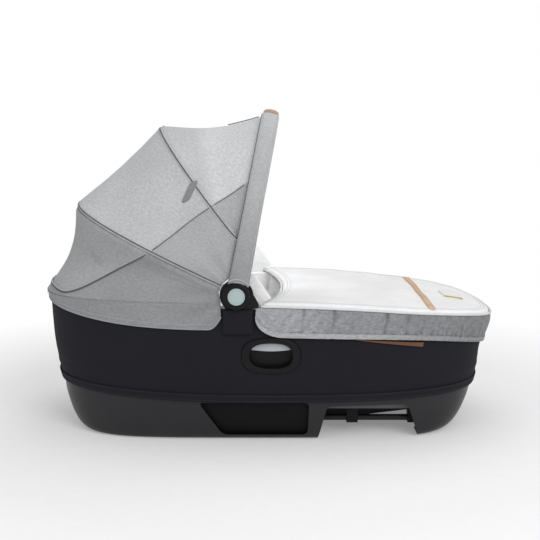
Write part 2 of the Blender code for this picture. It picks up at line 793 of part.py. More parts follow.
def make_side_panel(name, side):
    """A panel behind the window, following the inner face of the base's wall."""
    columns = np.linspace(WINDOW_TOP_FROM - PANEL_LAP, WINDOW_FOOT_TO + PANEL_LAP / 2, PANEL_COLUMNS)
    rows = []
    for height in np.linspace(WINDOW_BOTTOM, WINDOW_TOP + PANEL_LAP, PANEL_ROWS):
        head, foot, half_width = base_section(height)
        centre, half_length = (head + foot) / 2, (foot - head) / 2
        lean = BASE_WALL + PANEL_BACK + PANEL_THICKNESS + GAP
        power = base_power(height)
        wide = half_width * (1 - np.abs((columns - centre) / half_length) ** power) ** (1 / power)
        shift = np.interp(height, [WINDOW_BOTTOM, WINDOW_TOP], [WINDOW_FOOT_FROM - WINDOW_TOP_FROM, 0])
        x = columns + shift * np.clip((columns[-1] - columns) / (columns[-1] - columns[0]), 0, 1)
        row = [(px, side * (py - lean), height) for px, py in zip(x, wide)]
        rows.append(row if side < 0 else row[::-1])
    panel = keep("side_panel_" + name, loft(rows, closed=False), "panel_plastic")
    solidify(panel, PANEL_THICKNESS)


def make_deck():
    low = DECK_TOP - DECK_THICKNESS
    section, power = base_section(low), base_power(low)
    inset = BASE_WALL + FIT + GAP
    rings = [flat_ring(section, height, inset, power=power) for height in (low, DECK_TOP)]
    deck = keep("deck_panel", loft(rings, cap_first=True, cap_last=True), "deck_plastic")
    length = WINDOW_TOP_TO - WINDOW_TOP_FROM + 4 * PANEL_LAP
    middle = (WINDOW_TOP_TO + WINDOW_TOP_FROM) / 2
    for name, side in SIDES:
        edge = section[2] - 2 * (BASE_WALL + PANEL_BACK + PANEL_THICKNESS) + OVERRUN
        room = box((length, 2 * OVERRUN, 4 * DECK_THICKNESS), (middle, side * edge, low))
        boolean(deck, keep("cut_deck_" + name, room))
    rail_top = low - GAP
    for name, side in SIDES:
        make_rail(name, side, rail_top)
        ends = [(x, side * RAIL_PLACE, BAR_HEIGHT) for x in (BAR_FROM, BAR_TO)]
        keep("striker_bar_" + name, rod(BAR_RADIUS, *ends, BAR_STEPS), "bar_steel")
    make_keel(rail_top)


def make_rail(name, side, top):
    """A rail under the deck, with three posts bored for the striker bar."""
    size = (RAIL_TO - RAIL_FROM, RAIL_WIDTH, RAIL_HEIGHT)
    place = ((RAIL_TO + RAIL_FROM) / 2, side * RAIL_PLACE, top - RAIL_HEIGHT / 2)
    rail = keep("deck_rail_" + name, box(size, place), "deck_plastic")
    bottom = BAR_HEIGHT - BAR_RADIUS - BAR_MOUNT_DROP
    spread = BAR_TO - BAR_FROM - BAR_MOUNT_LENGTH
    height = top - RAIL_HEIGHT + FIT - bottom
    for number, share in enumerate(BAR_MOUNT_SHARES):
        centre = BAR_FROM + BAR_MOUNT_LENGTH / 2 + share * spread
        place = (centre, side * RAIL_PLACE, bottom + height / 2)
        post = keep(f"add_post_{name}_{number}", box((BAR_MOUNT_LENGTH, BAR_MOUNT_WIDTH, height), place))
        boolean(rail, post, "UNION")
    ends = [(place, side * RAIL_PLACE, BAR_HEIGHT) for place in (BAR_FROM - OVERRUN, BAR_TO + OVERRUN)]
    boolean(rail, keep("cut_bar_" + name, rod(BAR_RADIUS + GAP, *ends, BAR_STEPS)))


def make_keel(top):
    """The housing under the middle of the deck, shallower towards the foot."""
    points = [
        (KEEL_HEAD, top),
        (KEEL_HEAD + KEEL_END_SLOPE, KEEL_BOTTOM),
        (KEEL_RISE_FROM, KEEL_BOTTOM),
        (KEEL_FOOT - KEEL_END_SLOPE, KEEL_BOTTOM + KEEL_RISE),
        (KEEL_FOOT, top),
    ]
    keel = keep("keel_housing", plate(points, -KEEL_HALF_WIDTH, KEEL_HALF_WIDTH), "keel_plastic")
    bevel(keel, 2 * EDGE_ROUND, 2)


# Tub and cover

def tub_lip_section():
    """Plan of the tub's outer face where it stands inside the lip of the base."""
    inset = BASE_WALL + FIT
    head, foot, half_width = base_section(BASE_LIP_HEIGHT)
    return head + inset, foot - inset, half_width - inset


def tub_rings(inset=0):
    """The tub's outer face from its floor to the rim, set in by a length."""
    floor = DECK_TOP + GAP
    lip = tub_lip_section()
    rings = []
    for height, corner in TUB_CORNER_SHARES:
        z = floor + height * (BASE_LIP_HEIGHT - floor)
        rings.append(flat_ring(lip, z, inset + corner * TUB_CORNER))
    for level in COVER_LEVEL_SHARES[2:]:
        rings.append(cover_ring(level, inset + COVER_WALL + GAP))
    return rings


def grip_hole(name, side):
    """Cutter for the cup of a side grip, through fabric, tub and into the liner."""
    length, height = grip_cup_size()
    outer = RIM_HALF_WIDTH + OVERRUN
    inner = grip_back() - GAP
    ring = grip_oval(length + 2 * FIT, height + 2 * FIT, LEVER_TRAVEL / 2)
    return keep("cut_grip_" + name, plate(ring, side * inner, side * outer))


def make_tub(grip_holes):
    tub = keep("tub_shell", loft(tub_rings(), cap_first=True), "tub_plastic")
    solidify(tub, TUB_WALL)
    cover = keep("side_cover", loft([cover_ring(level) for level in COVER_LEVEL_SHARES]), "navy_fabric")
    solidify(cover, COVER_WALL)
    for hole in grip_holes + [keep("cut_screws", screw_holes())]:
        boolean(tub, hole)
        boolean(cover, hole)
    make_binding()
    make_side_tag(cover)


def make_binding():
    """The tape sewn round the hem of the cover."""
    angles = ring_angles()
    faces = []
    for rise in (0, BINDING_WIDTH):
        x, _ = outline(cover_section(0), angles)
        z = hem_height(x) + rise
        x, y = outline(cover_section(cover_level(x, z)), angles)
        away = np.stack([x / RIM_FOOT, y / RIM_HALF_WIDTH, np.zeros_like(x)], axis=1)
        away /= np.linalg.norm(away, axis=1)[:, None]
        place = np.stack([x, y, z], axis=1)
        near = place + (GAP + FIT) * away
        faces.append((near, near + BINDING_THICKNESS * away))
    (low_near, low_far), (high_near, high_far) = faces
    sections = [[Vector(p) for p in loop] for loop in zip(low_near, low_far, high_far, high_near)]
    keep("cover_hem_binding", tube_of_sections(sections), "navy_fabric")


def make_side_tag(cover):
    """The leather tag sewn flat on the near side of the cover, under the apron's hem."""
    tree = surface_of(cover)
    upper, lower = [], []
    for share in np.linspace(0, 1, TAG_POINTS):
        x = TAG_FROM + share * (TAG_TO - TAG_FROM)
        top = TAG_TOP - TAG_SLOPE * share
        width = TAG_TIP_WIDTH + share * (TAG_WIDTH - TAG_TIP_WIDTH)
        for row, z in ((upper, top), (lower, top - width)):
            hit = tree.ray_cast(Vector((x, -1, z)), Vector((0, 1, 0)))[0]
            row.append(hit - Vector((0, GAP + FIT / 2, 0)))
    solidify(keep("side_tag", loft([lower, upper], closed=False), "leather"), TAG_THICKNESS, outward=True)


# Liner, board and mattress

def make_liner(grip_holes):
    """A padded wall inside the tub, sewn in upright channels."""
    count = 2 * LINER_CHANNELS
    half_length = (RIM_FOOT - RIM_HEAD) / 2
    angles = spread_angles(count + 1, half_length, RIM_HALF_WIDTH, PLAN_POWER)[:-1]
    wall = TUB_WALL + GAP + FIT + LINER_EASE
    lip = tub_lip_section()
    swell = np.where(np.arange(count) % 2, LINER_CHANNEL_DEPTH, 0)
    foot_inset = TUB_CORNER * TUB_CORNER_SHARES[2][1] + wall
    outer = [
        flat_ring(lip, LINER_BOTTOM, foot_inset, angles),
        flat_ring(lip, BASE_LIP_HEIGHT, wall, angles),
    ]
    inner = [flat_ring(lip, LINER_BOTTOM, foot_inset + LINER_FOOT_THICKNESS, angles)]
    fabric_wall = COVER_WALL + GAP + wall
    for level in COVER_LEVEL_SHARES[2:]:
        outer.append(cover_ring(level, fabric_wall, angles))
        ring = np.array(cover_ring(level, fabric_wall + LINER_THICKNESS, angles))
        pull = swell if level < 1 else swell / 2
        ring[:, :2] *= (1 + pull / np.linalg.norm(ring[:, :2], axis=1))[:, None]
        inner.append([tuple(point) for point in ring])
    drop = Vector((0, 0, LINER_BELOW_RIM))
    sections = []
    for number in range(count):
        loop = [Vector(ring[number]) for ring in outer]
        back = [Vector(ring[number]) for ring in inner]
        loop[-1] -= drop
        back[-1] -= drop
        crest = (loop[-1] + back[-1]) / 2 + Vector((0, 0, LINER_CREST))
        sections.append(loop + [crest] + back[::-1])
    liner = keep("liner", tube_of_sections(sections), "liner_fabric")
    for hole in grip_holes:
        boolean(liner, hole)
    for name, side in SIDES:
        make_ear(name, side)


def make_ear(name, side):
    """The padded ear that covers the inner side of a hub."""
    foot = float(rim_height(EAR_FOOT_FROM)) + GAP
    turn = (EAR_TOP_TO - EAR_TOP_FROM) * EAR_TURN_SHARE
    outer = REAR_HALF_WIDTH - REAR_BAR_THICKNESS / 2 - PIN_HEAD - EAR_CLEAR - GAP
    points = [
        (EAR_FOOT_FROM, foot),
        (EAR_FOOT_TO, foot),
        (EAR_TOP_TO + turn, EAR_TOP - turn),
        (EAR_TOP_TO, EAR_TOP),
        (EAR_TOP_FROM + turn, EAR_TOP),
        (EAR_TOP_FROM, EAR_TOP - turn),
    ]
    pad = plate(points, side * outer, side * (outer - EAR_THICKNESS))
    bevel(keep("liner_ear_" + name, pad, "liner_fabric"), EDGE_ROUND)


def make_bed():
    """The mattress board on the tub's floor and the crowned mattress on it."""
    floor = DECK_TOP + GAP + TUB_WALL + GAP
    section = (MATTRESS_HEAD, MATTRESS_FOOT, MATTRESS_HALF_WIDTH)
    inset = MATTRESS_PUFF
    board_rings = [flat_ring(section, floor, inset), flat_ring(section, floor + BOARD_THICKNESS, inset)]
    keep("mattress_board", loft(board_rings, cap_first=True, cap_last=True), "board")
    low = floor + BOARD_THICKNESS + GAP
    rings = []
    for height, puffs in MATTRESS_SIDE_SHARES:
        rings.append(flat_ring(section, low + MATTRESS_THICKNESS * height, puffs * MATTRESS_PUFF))
    edge = np.array(rings[-1])
    centre = np.array([(MATTRESS_HEAD + MATTRESS_FOOT) / 2, 0, 0])
    for share in MATTRESS_TOP_SHARES:
        ring = centre + (edge - centre) * (share, share, 1)
        ring[:, 2] += MATTRESS_CROWN * (1 - share**2)
        rings.append([tuple(point) for point in ring])
    keep("mattress", loft(rings, cap_first=True, cap_last=True), "mattress_fabric")


# Side grips

def grip_oval(length, height, rise=0, points=GRIP_POINTS):
    angles = spread_angles(points + 1, length / 2, height / 2, GRIP_POWER)[:-1]
    x, z = superellipse(angles, GRIP_POWER)
    return [(GRIP_X + px * length / 2, GRIP_Z + rise + pz * height / 2) for px, pz in zip(x, z)]


def grip_pocket_size():
    return GRIP_OPENING_LENGTH + LEVER_ROOM, GRIP_OPENING_HEIGHT + LEVER_TRAVEL + LEVER_ROOM


def grip_cup_size():
    length, height = grip_pocket_size()
    return length + 2 * GRIP_CUP_WALL, height + 2 * GRIP_CUP_WALL


def grip_face():
    return RIM_HALF_WIDTH + GAP + GRIP_FLANGE


def grip_back():
    return RIM_HALF_WIDTH - GRIP_CUP_DEPTH


def oval_prism(size, rise, near, far):
    return plate(grip_oval(*size, rise), near, far)


def make_grip(name, side):
    face, back = grip_face(), grip_back()
    inner = RIM_HALF_WIDTH + GAP
    trim = 2 * GRIP_FLANGE_ROUND
    rings = []
    for size, out in (
        ((GRIP_LENGTH, GRIP_HEIGHT), inner),
        ((GRIP_LENGTH, GRIP_HEIGHT), face - GRIP_FLANGE_ROUND),
        ((GRIP_LENGTH - trim, GRIP_HEIGHT - trim), face),
    ):
        rings.append([(x, side * out, z) for x, z in grip_oval(*size)])
    bezel = keep("grip_bezel_" + name, tube_of_sections(rings, ring=False), "hub_plastic")
    cup_rise = LEVER_TRAVEL / 2
    cup = keep("add_cup_" + name, oval_prism(grip_cup_size(), cup_rise, side * back, side * (inner + FIT)))
    floor = back + GRIP_CUP_WALL
    room = oval_prism(grip_pocket_size(), cup_rise, side * floor, side * (inner - GAP))
    pocket = keep("cut_pocket_" + name, room)
    opening_size = (GRIP_OPENING_LENGTH - FIT, GRIP_OPENING_HEIGHT)
    opening = keep(
        "cut_opening_" + name,
        oval_prism(opening_size, 0, side * (floor + FIT), side * (face + OVERRUN)),
    )
    boolean(bezel, cup, "UNION")
    boolean(bezel, pocket)
    boolean(bezel, opening)
    make_lever(name, side, floor)


def make_lever(name, side, floor):
    """The release lever: the top of the opening's oval, with a bowed lower edge."""
    clear = 2 * LEVER_CLEAR
    whole = grip_oval(GRIP_OPENING_LENGTH - clear, GRIP_OPENING_HEIGHT - clear)
    cut = GRIP_Z + GRIP_OPENING_HEIGHT / 2 - LEVER_HEIGHT
    top = [point for point in whole if point[1] > cut + LEVER_BOW]
    top.sort(key=lambda point: -point[0])
    half = top[0][0] - GRIP_X
    lower = [(GRIP_X + half * share, cut + LEVER_BOW * share**2) for share in LEVER_EDGE_SHARES]
    near = floor + LEVER_CLEAR
    slab = plate(top + lower, side * near, side * (near + LEVER_THICKNESS))
    lever = keep("grip_lever_" + name, slab, "lever_plastic")
    bevel(lever, EDGE_ROUND / 2)
    middle = side * (near + LEVER_THICKNESS / 2)
    lever_top = GRIP_Z + GRIP_OPENING_HEIGHT / 2 - LEVER_CLEAR
    bottom = lever_top - LEVER_BORE_DEPTH
    ends = ((GRIP_X, middle, bottom), (GRIP_X, middle, lever_top + OVERRUN))
    boolean(lever, keep("cut_bore_" + name, rod(LEVER_BORE_RADIUS, *ends, SMALL_STEPS)))
    hang(axis_empty("lever_axis_" + name, (GRIP_X, middle, GRIP_Z)), lever)
    pocket_top = GRIP_Z + LEVER_TRAVEL / 2 + grip_pocket_size()[1] / 2
    start = (GRIP_X, middle, bottom + GAP)
    length = pocket_top - GAP - (bottom + GAP)
    coil(
        "lever_spring_" + name, start, (0, 0, 1), length, LEVER_SPRING_RADIUS, LEVER_SPRING_WIRE,
        LEVER_SPRING_TURNS, "spring_steel",
    )


# Hubs

def bracket_near():
    return RIM_HALF_WIDTH + GAP


def hub_near():
    return bracket_near() + BRACKET_THICKNESS + GAP


def hub_face():
    return hub_near() + HUB_DEPTH


def screw_places():
    return [(x, SCREW_HEIGHT) for x in (SCREW_FROM, SCREW_TO)]


def screw_holes():
    """Cutter for the screws of both brackets, through bracket, cover and tub."""
    build = bmesh.new()
    for _, side in SIDES:
        for x, z in screw_places():
            ends = [(x, side * (RIM_HALF_WIDTH + out), z) for out in (-SCREW_REACH - OVERRUN, OVERRUN)]
            build.from_mesh(rod(SCREW_SHANK_RADIUS + GAP, *ends, SCREW_STEPS))
    mesh = bpy.data.meshes.new("screw_holes")
    build.to_mesh(mesh)
    build.free()
    return mesh


def make_bracket(name, side):
    arc = np.radians(np.linspace(BRACKET_ARC_FROM, BRACKET_ARC_TO, BRACKET_ARC_POINTS))
    round_x = HUB_X + BRACKET_HEAD_RADIUS * np.cos(arc)
    round_z = HUB_Z + BRACKET_HEAD_RADIUS * np.sin(arc)
    points = list(zip(round_x, round_z)) + [
        (BRACKET_TIP_X, BRACKET_TIP_Z),
        (BRACKET_TO, BRACKET_SHOULDER),
        (BRACKET_TO, BRACKET_STEP),
        (BRACKET_FOOT_TO, BRACKET_STEP - HUB_ROUND),
        (BRACKET_FOOT_TO, BRACKET_BOTTOM + HUB_ROUND),
        (BRACKET_FOOT_TO - HUB_ROUND, BRACKET_BOTTOM),
        (BRACKET_FROM + HUB_ROUND, BRACKET_BOTTOM),
        (BRACKET_FROM, BRACKET_BOTTOM + HUB_ROUND),
    ]
    near = bracket_near()
    far = near + BRACKET_THICKNESS
    bracket = keep("hinge_bracket_" + name, plate(points, side * near, side * far), "bracket_plastic")
    ends = ((HUB_X, side * (near - OVERRUN), HUB_Z), (HUB_X, side * (far + OVERRUN), HUB_Z))
    boolean(bracket, keep("cut_axis_" + name, rod(PIN_BORE, *ends, SMALL_STEPS)))
    boolean(bracket, bpy.data.objects["cut_screws"])
    inner = REAR_HALF_WIDTH - REAR_BAR_THICKNESS / 2 - GAP
    outer = hub_near() + HUB_FLOOR + GAP
    profile = [
        (0, outer + PIN_HEAD),
        (PIN_HEAD_RADIUS - PIN_HEAD_ROUND, outer + PIN_HEAD),
        (PIN_HEAD_RADIUS, outer + PIN_HEAD - PIN_HEAD_ROUND),
        (PIN_HEAD_RADIUS, outer),
        (PIN_RADIUS, outer),
        (PIN_RADIUS, inner),
        (PIN_HEAD_RADIUS, inner),
        (PIN_HEAD_RADIUS, inner - PIN_HEAD),
        (0, inner - PIN_HEAD),
    ]
    turned("pivot_pin_" + name, profile, side, "spring_steel", SMALL_STEPS)


def make_screws():
    """The screws that hold the brackets to the tub through the cover."""
    head_near = bracket_near() + BRACKET_THICKNESS + GAP
    for name, side in SIDES:
        for number, (x, z) in enumerate(screw_places(), 1):
            ends = [(x, side * out, z) for out in (RIM_HALF_WIDTH - SCREW_REACH, head_near + SCREW_HEAD / 2)]
            shank = rod(SCREW_SHANK_RADIUS, *ends, SCREW_STEPS)
            screw = keep(f"bracket_screw_{name}_{number}", shank, "spring_steel")
            ends = [(x, side * out, z) for out in (head_near, head_near + SCREW_HEAD)]
            head = keep(f"add_head_{name}_{number}", rod(SCREW_RADIUS, *ends, SCREW_STEPS))
            boolean(screw, head, "UNION")


def make_hub(name, side, handle_axis):
    near, face = hub_near(), hub_face()
    recess = BUTTON_RADIUS + BUTTON_CLEAR
    floor = near + HUB_FLOOR
    profile = [
        (PIN_BORE, floor),
        (recess, floor),
        (recess, face),
        (HUB_RADIUS - HUB_ROUND, face),
        (HUB_RADIUS, face - HUB_ROUND),
        (HUB_RADIUS, near),
        (PIN_BORE, near),
    ]
    hub = turned("hub_" + name, profile, side, "hub_plastic", closed=True)
    tilt = math.radians(HANDLE_TILT)
    slot_size = (HANDLE_BAR_WIDTH + 2 * GAP, HANDLE_BAR_THICKNESS + 2 * GAP, 2 * HUB_RADIUS)
    slot = keep("cut_slot_" + name, box(slot_size, (0, 0, HANDLE_START - GAP + HUB_RADIUS)))
    slot.location = (HUB_X, side * HANDLE_HALF_WIDTH, HUB_Z)
    slot.rotation_euler = (0, -tilt, 0)
    boolean(hub, slot)
    button_face = face + BUTTON_PROUD
    skirt = floor + BUTTON_TRAVEL + BUTTON_CLEAR
    wall = BUTTON_RADIUS - BUTTON_WALL
    profile = [
        (0, button_face),
        (BUTTON_RADIUS - BUTTON_ROUND, button_face),
        (BUTTON_RADIUS, button_face - BUTTON_ROUND),
        (BUTTON_RADIUS, skirt),
        (wall, skirt),
        (wall, button_face - BUTTON_TOP),
        (0, button_face - BUTTON_TOP),
    ]
    button = turned("hub_button_" + name, profile, side, "button_plastic")
    start = floor + GAP + PIN_HEAD + GAP
    length = button_face - BUTTON_TOP - GAP - start
    spring = coil(
        "hub_spring_" + name, (HUB_X, side * start, HUB_Z), (0, side, 0), length,
        BUTTON_SPRING_RADIUS, BUTTON_SPRING_WIRE, BUTTON_SPRING_TURNS, "spring_steel",
    )
    hang(handle_axis, hub, spring)
    hang(axis_empty("button_axis_" + name, (HUB_X, side * face, HUB_Z)), button)


# Bows

def arch(shape, angles, out=0, side=0):
    """Points of an arch, moved outwards in its plane and forwards across it."""
    x, z, tilt, reach, power, half_width = shape
    lean = math.radians(tilt)
    up = np.array([-math.sin(lean), 0, math.cos(lean)])
    across = np.array([math.cos(lean), 0, math.sin(lean)])
    y, r = superellipse(angles, power)
    y, r = y * half_width, r * reach
    flat = np.stack([y, r], axis=1)
    ahead = np.stack(superellipse(angles + ANGLE_STEP, power), axis=1) * (half_width, reach)
    behind = np.stack(superellipse(angles - ANGLE_STEP, power), axis=1) * (half_width, reach)
    heading = ahead - behind
    heading /= np.linalg.norm(heading, axis=1)[:, None]
    normal = np.stack([heading[:, 1], -heading[:, 0]], axis=1)
    flat = flat + out * normal
    place = np.array([x, 0, z]) + flat[:, :1] * np.array([0, 1, 0]) + flat[:, 1:] * up + side * across
    return place, normal, up, across


HANDLE_ARCH = (HUB_X, HUB_Z, HANDLE_TILT, HANDLE_REACH, HANDLE_POWER, HANDLE_HALF_WIDTH)
REAR_ARCH = (HUB_X, HUB_Z, REAR_TILT, REAR_REACH, REAR_POWER, REAR_HALF_WIDTH)
BATTEN_ARCH = (BATTEN_X, BATTEN_Z, BATTEN_TILT, BATTEN_REACH, BATTEN_POWER, BATTEN_HALF_WIDTH)


def arch_angle_at(shape, height):
    """The angle at which an arch is a height above its foot."""
    _, _, _, reach, power, _ = shape
    return math.asin((height / reach) ** (power / 2))


def arch_angles(shape, start, count, end=None):
    """Angles from a start up and over to its mirror image, close together where the arch turns."""
    _, _, _, reach, power, half_width = shape
    end = math.pi - start if end is None else end
    fine = np.linspace(start, end, FINE_POINTS)
    y, r = superellipse(fine, power)
    step = np.hypot(np.diff(y * half_width), np.diff(r * reach))
    heading = np.unwrap(np.arctan2(np.diff(r * reach), np.diff(y * half_width)))
    turn = np.abs(np.diff(heading, prepend=heading[0]))
    weight = (1 - TURN_SHARE) * step / step.sum() + TURN_SHARE * turn / turn.sum()
    walked = np.concatenate([[0], np.cumsum(weight)])
    return np.interp(np.linspace(0, walked[-1], count), walked, fine)


def oval_section(width, thickness, points=OVAL_POINTS, power=OVAL_POWER):
    angles = spread_angles(points + 1, width / 2, thickness / 2, power)[:-1]
    w, h = superellipse(angles, power)
    return [(pw * width / 2, ph * thickness / 2) for pw, ph in zip(w, h)]


def box_section(width, thickness):
    corners = ((1, -1), (1, 1), (-1, 1), (-1, -1))
    return [(w * width / 2, h * thickness / 2) for w, h in corners]


def sweep_sections(shape, angles, section_of):
    """A closed section at each angle of an arch: width across the arch, thickness out from it."""
    sections = []
    for number, angle in enumerate(angles):
        place, normal, up, across = arch(shape, np.array([angle]))
        out = np.array([0, 1, 0]) * normal[0][0] + up * normal[0][1]
        section = section_of(number / (len(angles) - 1))
        sections.append([Vector(place[0] + w * across + h * out) for w, h in section])
    return sections


def hollow_sweep(outer, inner):
    """A sleeve between an outer and an inner run of sections of equal length."""
    mesh = bpy.data.meshes.new("sleeve")
    build = bmesh.new()
    walls = [[[build.verts.new(point) for point in loop] for loop in run] for run in (outer, inner)]
    count = len(outer[0])
    for run in walls:
        for low, high in zip(run, run[1:]):
            for here in range(count):
                there = (here + 1) % count
                build.faces.new((low[here], low[there], high[there], high[here]))
    for end in (0, -1):
        first, second = walls[0][end], walls[1][end]
        for here in range(count):
            there = (here + 1) % count
            build.faces.new((first[here], first[there], second[there], second[here]))
    bmesh.ops.recalc_face_normals(build, faces=build.faces)
    build.to_mesh(mesh)
    build.free()
    return mesh


def rear_angles():
    return arch_angles(REAR_ARCH, arch_angle_at(REAR_ARCH, CANOPY_START), CANOPY_COLUMNS)


def batten_angles():
    return arch_angles(BATTEN_ARCH, math.pi * BATTEN_START_SHARE, BATTEN_POINTS)


def make_rear_bow():
    angles = np.concatenate([[BOW_FOOT_ANGLE], rear_angles(), [math.pi - BOW_FOOT_ANGLE]])
    bar_section = box_section(REAR_BAR_WIDTH, REAR_BAR_THICKNESS)
    sections = sweep_sections(REAR_ARCH, angles, lambda share: bar_section)
    bow = keep("rear_bow", tube_of_sections(sections, ring=False), "aluminium")
    for name, side in SIDES:
        inner = REAR_HALF_WIDTH - REAR_BAR_THICKNESS / 2
        ends = ((HUB_X, side * inner, HUB_Z), (HUB_X, side * (inner + REAR_BAR_THICKNESS), HUB_Z))
        boolean(bow, keep("add_eye_" + name, rod(REAR_EYE_RADIUS, *ends, SMALL_STEPS)), "UNION")
        ends = ((HUB_X, side * (inner - OVERRUN), HUB_Z), (HUB_X, side * (inner + OVERRUN), HUB_Z))
        boolean(bow, keep("cut_eye_" + name, rod(PIN_BORE, *ends, SMALL_STEPS)))
    hang(axis_empty("rear_bow_axis", (HUB_X, 0, HUB_Z)), bow)


def sleeve_section(share):
    """The sleeve's section, wider at its foot."""
    widening = max(0, 1 - share / SLEEVE_FOOT_SHARE)
    return oval_section(SLEEVE_WIDTH + (SLEEVE_FOOT_WIDTH - SLEEVE_WIDTH) * widening, SLEEVE_THICKNESS)


def make_handle(handle_axis):
    start = arch_angle_at(HANDLE_ARCH, HANDLE_START)
    bar_section = oval_section(HANDLE_BAR_WIDTH, HANDLE_BAR_THICKNESS, BAR_POINTS, BAR_POWER)
    angles = arch_angles(HANDLE_ARCH, start, HANDLE_POINTS)
    sections = sweep_sections(HANDLE_ARCH, angles, lambda share: bar_section)
    bow = keep("handle_bow", tube_of_sections(sections, ring=False), "aluminium")
    sleeve_start = arch_angle_at(HANDLE_ARCH, SLEEVE_START)
    grip_end = math.acos((HAND_GRIP_HALF_LENGTH / HANDLE_HALF_WIDTH) ** (HANDLE_POWER / 2))
    join = GAP / HANDLE_REACH
    bore = oval_section(HANDLE_BAR_WIDTH + 2 * FIT, HANDLE_BAR_THICKNESS + 2 * FIT, power=BAR_POWER)
    pieces = [bow]
    for name, side in SIDES:
        angles = arch_angles(HANDLE_ARCH, sleeve_start, SLEEVE_POINTS, grip_end - join)
        if side < 0:
            angles = math.pi - angles
        outer = sweep_sections(HANDLE_ARCH, angles, sleeve_section)
        inner = sweep_sections(HANDLE_ARCH, angles, lambda share: bore)
        pieces.append(keep("handle_sleeve_" + name, hollow_sweep(outer, inner), "grey_melange"))
    angles = arch_angles(HANDLE_ARCH, grip_end + join, HAND_GRIP_POINTS)
    grip_section = oval_section(HAND_GRIP_WIDTH, HAND_GRIP_THICKNESS)
    outer = sweep_sections(HANDLE_ARCH, angles, lambda share: grip_section)
    inner = sweep_sections(HANDLE_ARCH, angles, lambda share: bore)
    pieces.append(keep("handle_grip", hollow_sweep(outer, inner), "leather"))
    hang(handle_axis, *pieces)


def make_batten(handle_axis):
    bar_section = box_section(BATTEN_WIDTH, BATTEN_THICKNESS)
    sections = sweep_sections(BATTEN_ARCH, batten_angles(), lambda share: bar_section)
    batten = keep("mid_batten", tube_of_sections(sections, ring=False), "batten_plastic")
    hang(handle_axis, batten)


# Canopy

def rear_rail(side):
    """The line on which fabric lies over the rear bow, a little to one side of its middle."""
    return arch(REAR_ARCH, rear_angles(), REAR_BAR_THICKNESS / 2 + FIT, side)[0]


def batten_rail(side):
    """The line on which fabric lies over the batten."""
    return arch(BATTEN_ARCH, batten_angles(), BATTEN_THICKNESS / 2 + FIT, side)[0]


def handle_rail(angles, back=0):
    """The line on which fabric lies under the rear edge of the handle's sleeve."""
    under = -(SLEEVE_THICKNESS / 2 + FIT + CANOPY_WALL)
    return arch(HANDLE_ARCH, angles, under, -(SLEEVE_WIDTH / 2 - CANOPY_LAP) - back)[0]


def batten_foot_angle():
    """Where on the handle's leg the batten starts."""
    return arch_angle_at(HANDLE_ARCH, BATTEN_Z - HUB_Z)


def mirrored(points):
    return points[::-1] * np.array([1, -1, 1])


def fabric(name, first_rails, second_rails, sag):
    """A sheet that lies along its rails and is drawn in between them, thickened outwards."""
    first, second = first_rails[-1], second_rails[0]
    centre = np.array([HUB_X, 0, HUB_Z])
    crest = np.sin(np.linspace(0, math.pi, len(first))) ** SAG_POWER
    between = []
    for share in np.linspace(0, 1, CANOPY_ROWS + 1)[1:-1]:
        row = first + share * (second - first)
        away = row - centre
        away /= np.linalg.norm(away, axis=1)[:, None]
        between.append(row - away * (sag * math.sin(math.pi * share) * crest)[:, None])
    rows = first_rails + between + second_rails
    half = len(first) // 2
    middle = rows[len(rows) // 2]
    along = middle[half + 1] - middle[half]
    over = second[half] - first[half]
    if np.dot(np.cross(along, over), middle[half] - centre) < 0:
        rows = rows[::-1]
    sheet = keep(name, loft([[tuple(point) for point in row] for row in rows], closed=False), "grey_melange")
    return solidify(sheet, CANOPY_WALL, outward=True)


def skirt_hem(x):
    share = np.clip((SKIRT_FROM - np.asarray(x)) / (SKIRT_FROM - RIM_HEAD), 0, 1)
    return SKIRT_HEM + SKIRT_HEM_HEAD_RISE * share**SKIRT_HEM_POWER


def skirt_angles():
    """Angles round the head end, from the skirt's left end to its right end."""
    half_length = (RIM_FOOT - RIM_HEAD) / 2
    start = side_angle(SKIRT_FROM)
    fine = spread_angles(FINE_POINTS, half_length, RIM_HALF_WIDTH, PLAN_POWER)
    inside = fine[(fine > start) & (fine < 2 * math.pi - start)]
    inside = np.concatenate([[start], inside, [2 * math.pi - start]])
    return np.interp(np.linspace(0, 1, SKIRT_COLUMNS), np.linspace(0, 1, len(inside)), inside)


def skirt_rows():
    """Inner face of the skirt from hem to top, outside the cover."""
    angles = skirt_angles()
    rows = []
    for share in np.linspace(0, 1, SKIRT_ROWS + 1):
        x, y = outline((RIM_HEAD, RIM_FOOT, RIM_HALF_WIDTH), angles, -(GAP + FIT))
        low = skirt_hem(x)
        corner = np.clip(1 - (SKIRT_FROM - x) / SKIRT_CORNER, 0, 1) ** 2 * SKIRT_CORNER
        low = low + corner
        high = rim_height(x) + SKIRT_TOP_PROUD
        z = low + share * (high - low)
        flare = share**2
        head = np.clip((SKIRT_FROM - x) / (SKIRT_FROM - RIM_HEAD), 0, 1) ** 2
        x = x - SKIRT_FLARE * flare * head
        y = y * (1 + SKIRT_SIDE_FLARE / RIM_HALF_WIDTH * flare)
        rows.append(np.stack([x, y, z], axis=1))
    return rows


